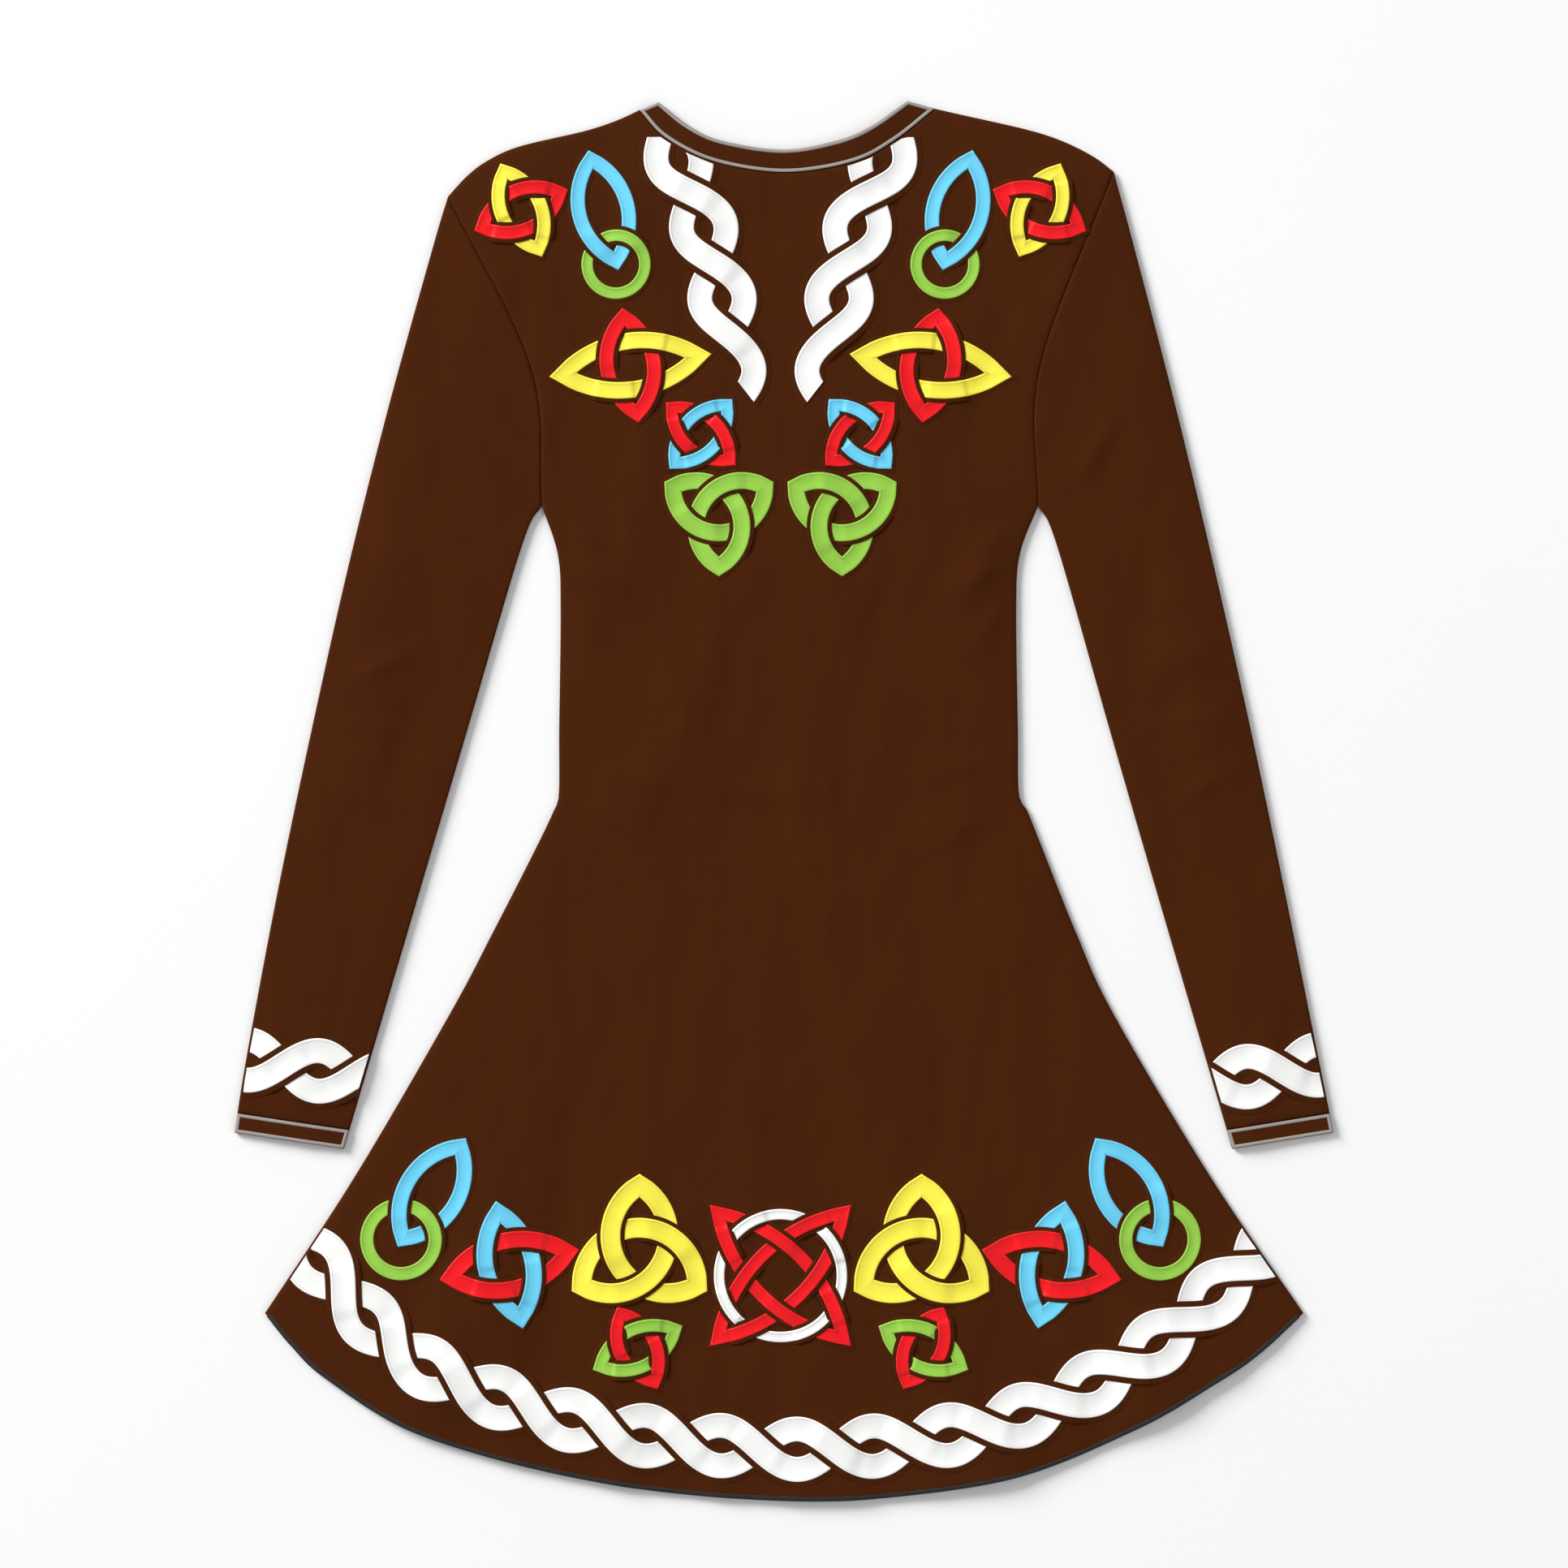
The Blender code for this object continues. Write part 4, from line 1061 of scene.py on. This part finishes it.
@dataclass(eq=False)
class Ribbon:
    """One ribbon that runs over and under the others of its knot or twist."""

    name: str
    line: Line
    width: float
    colour: str
    corners: tuple[float, ...] = ()
    over: list[tuple[float, float, float]] = field(default_factory=list)
    within: Optional[Test] = None
    step: float = 1.0
    edging: float = 2.2
    longest_slant: float = 9.0
    cut_step: float = 0.2
    corner_spare: float = 1.0
    end_run: float = 2.0

    def cut(self, offsets: Array) -> tuple[Array, Array]:
        """Finds where an open ribbon leaves the cloth that it is sewn to.

        Args:
            offsets: how far to the left of its middle line to look.

        Returns:
            The distances along at which it starts and ends, by offset.
        """
        s = np.arange(0.0, self.line.length, self.cut_step)
        side = self.line.sideways(s)
        kept = []
        for offset in offsets:
            found = []
            for place in (offset, max(-self.width / 2, min(self.width / 2, offset))):
                inside = s[self.within(self.line.at(s) + side * place)]
                found.append((inside[0], inside[-1]))
            own, edge = np.array(found)
            kept.append(np.where(np.abs(own - edge) < self.longest_slant, own, edge))
        starts, ends = np.array(kept).T
        return starts, ends

    def lift(self, s: Array) -> Array:
        """Finds how far the ribbon is lifted to pass over another.

        Args:
            s: distances along.

        Returns:
            A height for each distance.
        """
        most = np.zeros(np.shape(s))
        for place, half, slope in self.over:
            away = np.abs(s - place)
            if self.line.closed:
                away = np.mod(away, self.line.length)
                away = np.minimum(away, self.line.length - away)
            share = 1 - np.clip((away - half) / slope, 0, 1)
            most = np.maximum(most, share * share * (3 - 2 * share))
        return LIFT * most

    def corner_reach(self, s: float, half: float) -> float:
        """How far along the ribbon its mitre at a corner takes up its inner edge."""
        bend = float(self.line.heading(s, -1.0) @ self.line.heading(s))
        return half * math.tan(math.acos(max(-1.0, min(1.0, bend))) / 2) + self.corner_spare

    def run(self, first: float, last: float) -> Array:
        """Distances a step apart."""
        return np.linspace(first, last, max(2, math.ceil((last - first) / self.step) + 1))

    def stations(self, offsets: Array) -> tuple[Array, Array]:
        """Finds where its cross-sections stand.

        Args:
            offsets: how far to the left of the middle line each point of one is.

        Returns:
            The distance along and the place of each point, by cross-section.
        """
        half = float(np.abs(offsets).max())
        width = len(offsets)
        if not self.line.closed:
            return self.open_stations(offsets)
        if not self.corners:
            s = self.run(0.0, self.line.length)[:-1]
            s = np.repeat(s[:, None], width, 1)
            return s, self.places(s, offsets)
        distances, places = [], []
        following = [*self.corners[1:], self.corners[0] + self.line.length]
        for corner, after in zip(self.corners, following):
            reach = self.corner_reach(corner, half)
            s = np.concatenate([[corner], self.run(corner + reach, after - reach), [after]])
            s = np.repeat(s[:, None], width, 1)
            found = self.places(s, offsets)
            steps = np.linspace(0, 1, max(2, math.ceil(reach / self.step)) + 1)[:, None]
            for a, b in ((0, 1), (-2, -1)):
                between = steps[:-1] if a == 0 else steps[1:-1]
                distances.append(s[a] + (s[b] - s[a]) * between)
                places.append(found[a] + (found[b] - found[a]) * between[..., None])
                if a == 0:
                    distances.append(s[1:-1])
                    places.append(found[1:-1])
        return np.concatenate(distances), np.concatenate(places)

    def open_stations(self, offsets: Array) -> tuple[Array, Array]:
        """The same for an open ribbon, with a slanting cut at either end."""
        start, end = self.cut(offsets)
        first, last = float(start.max()) + self.end_run, float(end.min()) - self.end_run
        rows = []
        for cut, square in ((start, first), (end, last)):
            count = max(2, math.ceil(np.abs(cut - square).max() / self.step))
            steps = np.linspace(0, 1, count + 1)[:-1, None]
            rows.append(cut + (square - cut) * steps)
        middle = np.repeat(self.run(first, last)[:, None], len(offsets), 1)
        s = np.concatenate([rows[0], middle, rows[1][::-1]])
        return s, self.places(s, offsets)

    def places(self, s: Array, offsets: Array) -> Array:
        """The points at those distances along, off to the side by the offsets."""
        return self.line.at(s) + self.line.sideways(s) * offsets[:, None]

    def strip(self, name: str, half: float, profile: Profile, lay: Lay) -> bpy.types.Mesh:
        """Makes the ribbon as a solid that follows the cloth below it.

        Args:
            name: the mesh's name.
            half: half its width.
            profile: its cross-section.
            lay: how the cloth lies.

        Returns:
            The mesh.
        """
        inward = np.array([r[0] for r in profile.rim])
        rise = np.array([r[1] for r in profile.rim])
        offsets = np.concatenate([half - inward, [0.0], (inward - half)[::-1],
                                  [-half / 2, 0.0, half / 2]])
        heights = np.concatenate([rise, [profile.middle], rise[::-1], [0.0] * 3])
        edge = half - np.abs(offsets)
        s, places = self.stations(offsets)
        z = lay.top(places) + SEAT + profile.seat + self.lift(s) + heights
        rings = np.concatenate([places, z[..., None]], -1)
        values = {"along_mm": s, "inward_mm": np.repeat(edge[None], len(s), 0),
                  "wale_mm": places[..., 0], "course_mm": places[..., 1]}
        lap = self.line.length if self.line.closed else 0.0
        return ring_solid(name, rings, self.line.closed, values=values, lap=lap)

    def build(self, lay: Lay) -> list[bpy.types.Object]:
        """Makes the brown cloth that backs and edges the ribbon, and the satin on it.

        Args:
            lay: how the cloth lies.

        Returns:
            The pieces.
        """
        under = self.strip(f"{self.name}_edging", self.width / 2 + self.edging,
                           EDGING_PROFILE, lay)
        over = self.strip(f"{self.name}_satin", self.width / 2, SATIN_PROFILE, lay)
        return [
            add_piece(under, "dress_cloth"),
            add_piece(over, self.colour, self.name),
        ]


def crossings(a: Ribbon, b: Ribbon) -> list[tuple[float, float, float]]:
    """Finds where two ribbons cross, or where one crosses itself.

    Args:
        a, b: the ribbons, or one ribbon twice.

    Returns:
        The distance along each, and the angle between them.
    """
    p, r = a.line.points[:-1], np.diff(a.line.points, axis=0)
    q, t = b.line.points[:-1], np.diff(b.line.points, axis=0)
    found = []
    for i in range(len(p)):
        gap = q - p[i]
        turn = r[i][0] * t[:, 1] - r[i][1] * t[:, 0]
        turn[np.abs(turn) < 1e-9] = 1e-9
        u = (gap[:, 0] * t[:, 1] - gap[:, 1] * t[:, 0]) / turn
        v = (gap[:, 0] * r[i][1] - gap[:, 1] * r[i][0]) / turn
        for k in np.nonzero((u >= 0) & (u < 1) & (v >= 0) & (v < 1))[0]:
            on_a = float(a.line.along[i] + u[k] * np.hypot(*r[i]))
            on_b = float(b.line.along[k] + v[k] * np.hypot(*t[k]))
            apart = abs(on_a - on_b)
            if a.line.closed:
                apart = min(apart, a.line.length - apart)
            if a is b and (apart < a.width or on_a > on_b):
                continue
            across = abs(turn[k]) / (np.hypot(*r[i]) * np.hypot(*t[k]))
            found.append((on_a, on_b, math.asin(min(1.0, across))))
    return found


def weave(ribbons: Sequence[Ribbon], first_over: bool = True) -> None:
    """Lifts the ribbons over each other by turns: each runs over one and under the next.

    Args:
        ribbons: those of one knot or twist.
        first_over: whether the first one starts by running over.
    """
    meets = []
    passes: dict[Ribbon, list[float]] = {ribbon: [] for ribbon in ribbons}
    for i, a in enumerate(ribbons):
        for b in ribbons[i:]:
            for on_a, on_b, angle in crossings(a, b):
                meets.append((a, on_a, b, on_b, angle))
                passes[a].append(on_a)
                passes[b].append(on_b)
    order = {r: {place: k for k, place in enumerate(sorted(passes[r]))} for r in ribbons}
    turn = {ribbons[0]: int(first_over)}
    for _ in ribbons:
        for a, on_a, b, on_b, _ in meets:
            step = order[a][on_a] + order[b][on_b] + 1
            if a in turn and b not in turn:
                turn[b] = (turn[a] + step) % 2
            elif b in turn and a not in turn:
                turn[a] = (turn[b] + step) % 2
    for a, on_a, b, on_b, angle in meets:
        a_over = (order[a][on_a] + turn[a]) % 2
        upper, lower, place = (a, b, on_a) if a_over else (b, a, on_b)
        wide = upper.width / 2 + upper.edging
        half = (lower.width / 2 + wide * math.cos(angle)) / math.sin(angle) + OVERLAP_SPARE
        room = [abs(place - other) for other in passes[upper] if other != place]
        if upper.line.closed:
            room = [min(gap, upper.line.length - gap) for gap in room]
        slope = min(room, default=LONGEST_RAMP + 2 * half) - 2 * half
        upper.over.append((place, half, max(RAMP, min(LONGEST_RAMP, slope))))


def arc(x: float, y: float, radius: float, start: float, end: float, steps: int = 120) -> Array:
    """Points on an arc, angles in degrees."""
    angles = np.radians(np.linspace(start, end, steps + 1))
    return np.column_stack([x + radius * np.cos(angles), y + radius * np.sin(angles)])


def motif_line(motif: Motif) -> tuple[Line, tuple[float, ...]]:
    """Draws the middle line of a motif's ribbon.

    Args:
        motif: the motif.

    Returns:
        The line, and the distances along it of its points.
    """
    if motif.form is Form.RING:
        return Line(arc(motif.x, motif.y, motif.size, 0, 360, 360), closed=True), ()
    runs = []
    if motif.form is Form.TRINITY:
        tips = 3
        for k in range(tips):
            away = motif.turn + 180 - 120 * k
            off = motif.size / math.sqrt(3)
            cx = motif.x + off * math.cos(math.radians(away))
            cy = motif.y + off * math.sin(math.radians(away))
            runs.append(arc(cx, cy, motif.size, away + 90, away + 270)[:-1])
    else:
        tips = 2
        half = motif.breadth / 2
        radius = ((motif.size / 2) ** 2 + half**2) / (2 * half)
        swing = math.degrees(math.asin(motif.size / 2 / radius))
        for k in range(tips):
            away = motif.turn + 90 + 180 * k
            cx = motif.x - (radius - half) * math.cos(math.radians(away))
            cy = motif.y - (radius - half) * math.sin(math.radians(away))
            runs.append(arc(cx, cy, radius, away - swing, away + swing)[:-1])
    line = Line(np.concatenate([*runs, runs[0][:1]]), closed=True)
    return line, tuple(line.length * k / tips for k in range(tips))


def between(right: Line, left: Line) -> Test:
    """A test for points between two edges that run up the garment, clear of both."""
    columns = [edge.points[np.argsort(edge.points[:, 1])] for edge in (right, left)]

    def within(p: Array) -> Array:
        """Whether each point is."""
        low, high = (np.interp(p[:, 1], c[:, 1], c[:, 0]) for c in columns)
        return (low + END_INSET < p[:, 0]) & (p[:, 0] < high - END_INSET)

    return within


@dataclass
class Knots:
    """The coloured interlace."""

    lay: Lay
    pieces: list[bpy.types.Object] = field(default_factory=list)

    def ribbons(self, motifs: Sequence[Motif], side: Optional[Side]) -> list[Ribbon]:
        """Lays out the ribbons of the knots in a table, woven knot by knot.

        Args:
            motifs: the table.
            side: the side that they are on, or None for the middle.

        Returns:
            The ribbons.
        """
        made = []
        for knot in dict.fromkeys(motif.knot for motif in motifs):
            woven = []
            for motif in (m for m in motifs if m.knot == knot):
                line, corners = motif_line(motif)
                if side is Side.LEFT:
                    line = line.mirrored()
                name = "_".join(filter(None, (knot, side and side.value, motif.name)))
                woven.append(Ribbon(name, line, motif.ribbon, motif.colour, corners))
            weave(woven)
            made += woven
        return made

    def build(self) -> None:
        """Makes the centre's knot, and those of both sides."""
        made = self.ribbons(CENTRE_MOTIFS, None)
        for side in Side:
            made += self.ribbons(SIDE_MOTIFS, side)
        for ribbon in made:
            self.pieces += ribbon.build(self.lay)


@dataclass
class Twists:
    """The white two-strand twists, along the hem, above the cuffs and down the chest."""

    lay: Lay
    width: float = 13.8
    edging: float = 3.2
    swing: float = 11.2
    run_out: float = 30.0
    hem_up: float = 28.5
    hem_rise: float = 9.8
    hem_out: float = 254.0
    hem_stretches: int = 8
    hem_crossing: float = 42.3
    hem_start: tuple[float, float] = (-229.7, -286.5)
    neck_swing: float = 12.3
    neck_crossings: tuple[tuple[float, float], ...] = (
        (-66.2, 373.5), (-51.0, 336.5), (-39.1, 298.7), (-31.0, 259.0),
    )
    neck_starts: tuple[tuple[float, float], ...] = ((-56.0, 390.0), (-90.0, 367.5))
    neck_foot: tuple[float, float] = (-27.5, 218.0)
    neck_tip: tuple[float, float] = (-14.2, 217.5)
    neck_slant: float = 128.0
    strand_step: float = 0.6
    cuff_up: tuple[tuple[Side, float], ...] = ((Side.RIGHT, 41.0), (Side.LEFT, 38.5))
    cuff_crossing: float = 40.0
    cuff_first: float = 20.9
    body_pieces: list[bpy.types.Object] = field(default_factory=list)
    sleeve_pieces: dict[Side, list[bpy.types.Object]] = field(default_factory=dict)

    def strands(self, name: str, line: Line, crossing: float, first: float,
                swing: float) -> list[Ribbon]:
        """Swings two strands about a line, so that they cross every so often.

        Args:
            name: the twist's name.
            line: its middle line.
            crossing: the distance from one crossing to the next.
            first: the distance along of one of them.
            swing: how far each swings. A negative number changes them over.

        Returns:
            The two strands.
        """
        s = np.arange(-self.run_out, line.length + self.run_out, self.strand_step)
        side = turned_left(line.heading(np.clip(s, 0.0, line.along[-2])))
        wave = swing * np.sin(math.pi * (s - first) / crossing)[:, None]
        return [
            Ribbon(f"{name}_{number}", Line(line.at(s) + sign * wave * side), self.width, "white",
                   edging=self.edging)
            for number, sign in ((1, 1), (2, -1))
        ]

    def hem(self) -> list[Ribbon]:
        """The twist round the front of the hem, from side seam to side seam."""
        hem = smooth(smooth(HEM).stretches(self.hem_stretches))
        line = hem.moved(self.hem_up + self.hem_rise * (hem.points[:, 0] / self.hem_out) ** 2)
        start = int(np.argmin(np.linalg.norm(line.points - self.hem_start, axis=1)))
        first = float(line.along[start]) - self.hem_crossing / 2
        made = self.strands("hem_twist", line, self.hem_crossing, first, self.swing)
        weave(made)
        for ribbon in made:
            ribbon.within = between(SIDE_SEAM[Side.RIGHT], SIDE_SEAM[Side.LEFT])
        return made

    def cuff(self, side: Side) -> list[Ribbon]:
        """The twist across a sleeve, above its cuff."""
        outer, inner, up = OUTER_FOLD[side], INNER_FOLD[side], dict(self.cuff_up)[side]
        line = Line([outer.at(outer.length - up), inner.at(inner.length - up)])
        made = self.strands(f"cuff_twist_{side.value}", line, self.cuff_crossing,
                            self.cuff_first, self.swing if side is Side.RIGHT else -self.swing)
        weave(made, first_over=False)
        for ribbon in made:
            ribbon.within = between(*((outer, inner) if side is Side.RIGHT else (inner, outer)))
        return made

    def neck(self, side: Side) -> list[Ribbon]:
        """The twist from the neckband down one side of the chest.

        One strand ends under the last crossing, and the other in a slanting point.

        Args:
            side: which side.

        Returns:
            The two strands.
        """
        line = smooth([*self.neck_crossings, self.neck_foot])
        slant = math.radians(self.neck_slant)
        seam = smooth(NECK_SEAM).points
        made = self.strands(f"neck_twist_{side.value}", line,
                            line.length / len(self.neck_crossings), 0.0, self.neck_swing)

        def above_crossing(p: Array) -> Array:
            """Whether each point is above the last crossing."""
            return p[:, 1] > self.neck_crossings[-1][1]

        def above_slant(p: Array) -> Array:
            """Whether each point is above the slanting cut."""
            away = p - self.neck_tip
            return away[:, 0] * math.sin(slant) > away[:, 1] * math.cos(slant)

        def limits(start: tuple[float, float], above: Test) -> Test:
            """A test for points between a strand's start and its end."""
            def within(p: Array) -> Array:
                """Whether each point is."""
                highest = np.minimum(start[1], np.interp(p[:, 0], *seam.T) - END_INSET)
                if side is Side.LEFT:
                    p = p * (-1, 1) + (2 * CENTRE_FRONT, 0)
                return above(p) & (p[:, 0] > start[0]) & (p[:, 1] < highest)

            return within

        for ribbon, start, above in zip(made, self.neck_starts, (above_crossing, above_slant)):
            ribbon.within = limits(start, above)
            if side is Side.LEFT:
                ribbon.line = ribbon.line.mirrored()
        weave(made)
        return made

    def build(self) -> None:
        """Makes all the twists."""
        for ribbon in [*self.hem(), *self.neck(Side.RIGHT), *self.neck(Side.LEFT)]:
            self.body_pieces += ribbon.build(self.lay)
        for side in Side:
            made = [ribbon.build(self.lay) for ribbon in self.cuff(side)]
            self.sleeve_pieces[side] = [piece for pair in made for piece in pair]


@dataclass
class Band:
    """A narrow band, a tube with a border of grey stitching: a cuff or the neckband."""

    lay: Lay
    name: str
    grid: Array
    stitching: float = 1.8
    inset: float = 1.15
    pieces: list[bpy.types.Object] = field(default_factory=list)

    def border_line(self) -> tuple[Line, tuple[float, ...]]:
        """Draws the loop that the stitching follows, just inside the band's outline.

        Returns:
            The loop, and the distances along it of its corners.
        """
        depth = float(np.linalg.norm(self.grid[-1] - self.grid[0], axis=1).mean())
        place = np.linspace(0, 1, len(self.grid))
        rows = []
        for share in (self.inset / depth, 1 - self.inset / depth):
            row = np.array([[np.interp(share, place, self.grid[:, i, k]) for k in (0, 1)]
                            for i in range(self.grid.shape[1])])
            line = Line(row)
            rows.append(line.at(np.linspace(self.inset, line.length - self.inset, len(row))))
        loop = Line(np.concatenate([rows[0], rows[1][::-1], rows[0][:1]]), closed=True)
        ends = (0, len(rows[0]) - 1, len(rows[0]), 2 * len(rows[0]) - 1)
        return loop, tuple(float(loop.along[k]) for k in ends)

    def build(self) -> None:
        """Makes the band and its stitching."""
        band = Tube(self.lay, self.name, self.grid, seam_depth=0.35).build()
        loop, corners = self.border_line()
        ribbon = Ribbon(f"{self.name}_stitching", loop, self.stitching, "grey_thread", corners,
                        step=1.2)
        mesh = ribbon.strip(ribbon.name, self.stitching / 2, STITCH_PROFILE, self.lay)
        self.pieces = [band, add_piece(mesh, "grey_thread")]


@dataclass
class Sleeve:
    """A sleeve, folded along both edges, with the cuff below it."""

    lay: Lay
    side: Side
    across: int = 36
    along: int = 130
    rim: tuple[float, ...] = (0.0011, 0.0030)
    cuff_rows: int = 10
    pieces: list[bpy.types.Object] = field(default_factory=list)
    cuff: Optional[Band] = None

    def build(self) -> None:
        """Makes the sleeve and its cuff."""
        side = self.side
        clear = -SEWN_GAP if side is Side.RIGHT else SEWN_GAP
        across = np.linspace(0, 1, self.across + 1)
        up = shares((0.0, 1.0), (self.along,), self.rim)
        outer, inner = OUTER_FOLD[side], INNER_FOLD[side]
        head = ARMHOLE[side].moved(clear)
        levels = []
        for above in (CUFF_DEPTH + SEWN_GAP, CUFF_DEPTH, 0.0):
            level = Line([outer.at(outer.length - above), inner.at(inner.length - above)])
            levels.append(border([level], (0.0, 1.0), across))
        wrist, seam, edge = levels
        folds = []
        for fold, end in ((outer, 0), (inner, -1)):
            above = fold.length - CUFF_DEPTH - SEWN_GAP
            kept = fold.points[fold.along < above]
            points = [head.at(0.0 if end == 0 else head.length), *kept[1:], wrist[end]]
            folds.append(border([Line(points)], (0.0, 1.0), up))
        grid = patch(border([head], (0.0, 1.0), across), wrist, *folds, across, up)
        lean = math.atan2(*(grid[-1].mean(0) - grid[0].mean(0))) - math.pi
        self.pieces = [Tube(self.lay, f"sleeve_{side.value}", grid, lean=-lean).build()]
        rows = np.linspace(0, 1, self.cuff_rows + 1)
        sides = [np.linspace(seam[k], edge[k], self.cuff_rows + 1) for k in (0, -1)]
        self.cuff = Band(self.lay, f"cuff_{side.value}", patch(seam, edge, *sides, across, rows))
        self.cuff.build()


@dataclass
class Studio:
    """The floor, the lights and the camera, which looks straight down."""

    picture: float = 869.4
    centre: tuple[float, float] = (0.0, 9.2)
    distance: float = 3200.0
    sensor: float = 36.0
    floor_size: float = 14.0
    floor_drop: float = 0.25
    key_place: tuple[float, float, float] = (-7.8, 6.3, 4.5)
    key_size: float = 4.5
    key_power: float = 1690.0
    fill_place: tuple[float, float, float] = (3.0, -1.6, 3.0)
    fill_size: float = 2.4
    fill_power: float = 25.0
    sky: float = 0.42

    def camera(self) -> None:
        """Stands a long-lens camera over the dress, framed as the picture is."""
        data = bpy.data.cameras.new("camera")
        data.sensor_width = self.sensor
        data.lens = self.sensor * self.distance / self.picture
        made = bpy.data.objects.new("camera", data)
        made.location = (self.centre[0] * MM, self.centre[1] * MM, self.distance * MM)
        bpy.context.scene.collection.objects.link(made)
        bpy.context.scene.camera = made

    def light(self, name: str, place: tuple[float, float, float], size: float,
              power: float) -> None:
        """Hangs a square soft light that shines at the middle of the dress.

        Args:
            name: its name.
            place: where it hangs, in metres.
            size: how wide it is, in metres.
            power: its power, in watts.
        """
        data = bpy.data.lights.new(name, "AREA")
        data.shape = "SQUARE"
        data.size = size
        data.energy = power
        made = bpy.data.objects.new(name, data)
        made.location = place
        made.rotation_euler = Vector(place).to_track_quat("Z", "Y").to_euler()
        bpy.context.scene.collection.objects.link(made)

    def build(self) -> None:
        """Sets up the studio."""
        self.camera()
        half = self.floor_size / 2
        mesh = bpy.data.meshes.new("floor")
        low = -self.floor_drop * MM
        mesh.from_pydata([(-half, -half, low), (half, -half, low), (half, half, low),
                          (-half, half, low)], [], [(0, 1, 2, 3)])
        mesh.materials.append(finish_material("pale_floor"))
        floor = bpy.data.objects.new("floor", mesh)
        bpy.context.scene.collection.objects.link(floor)
        self.light("key", self.key_place, self.key_size, self.key_power)
        self.light("fill", self.fill_place, self.fill_size, self.fill_power)
        world = bpy.data.worlds.new("sky")
        world.use_nodes = True
        world.node_tree.nodes["Background"].inputs["Strength"].default_value = self.sky
        world.node_tree.nodes["Background"].inputs["Color"].default_value = (1.0, 1.0, 1.0, 1.0)
        bpy.context.scene.world = world
        bpy.context.scene.view_settings.view_transform = "Standard"


def neckband_grid(columns: int = 90, rows: int = 10) -> Array:
    """The neckband's points, by row from its free edge to the neck seam."""
    across, up = np.linspace(0, 1, columns + 1), np.linspace(0, 1, rows + 1)
    edge, seam = (border([smooth(line)], (0.0, 1.0), across) for line in (NECK_EDGE, NECK_SEAM))
    return edge + (seam - edge) * up[:, None, None]


def main() -> None:
    """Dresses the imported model, and sets up the studio round it."""
    logging.basicConfig(level=logging.INFO, format="%(message)s")
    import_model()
    lay = Lay()
    body = Body(lay)
    body.build()
    sleeves = {side: Sleeve(lay, side) for side in Side}
    for sleeve in sleeves.values():
        sleeve.build()
    neckband = Band(lay, "neckband", neckband_grid())
    neckband.build()
    twists = Twists(lay)
    twists.build()
    knots = Knots(lay)
    knots.build()
    Studio().build()


if __name__ == "__main__":
    main()
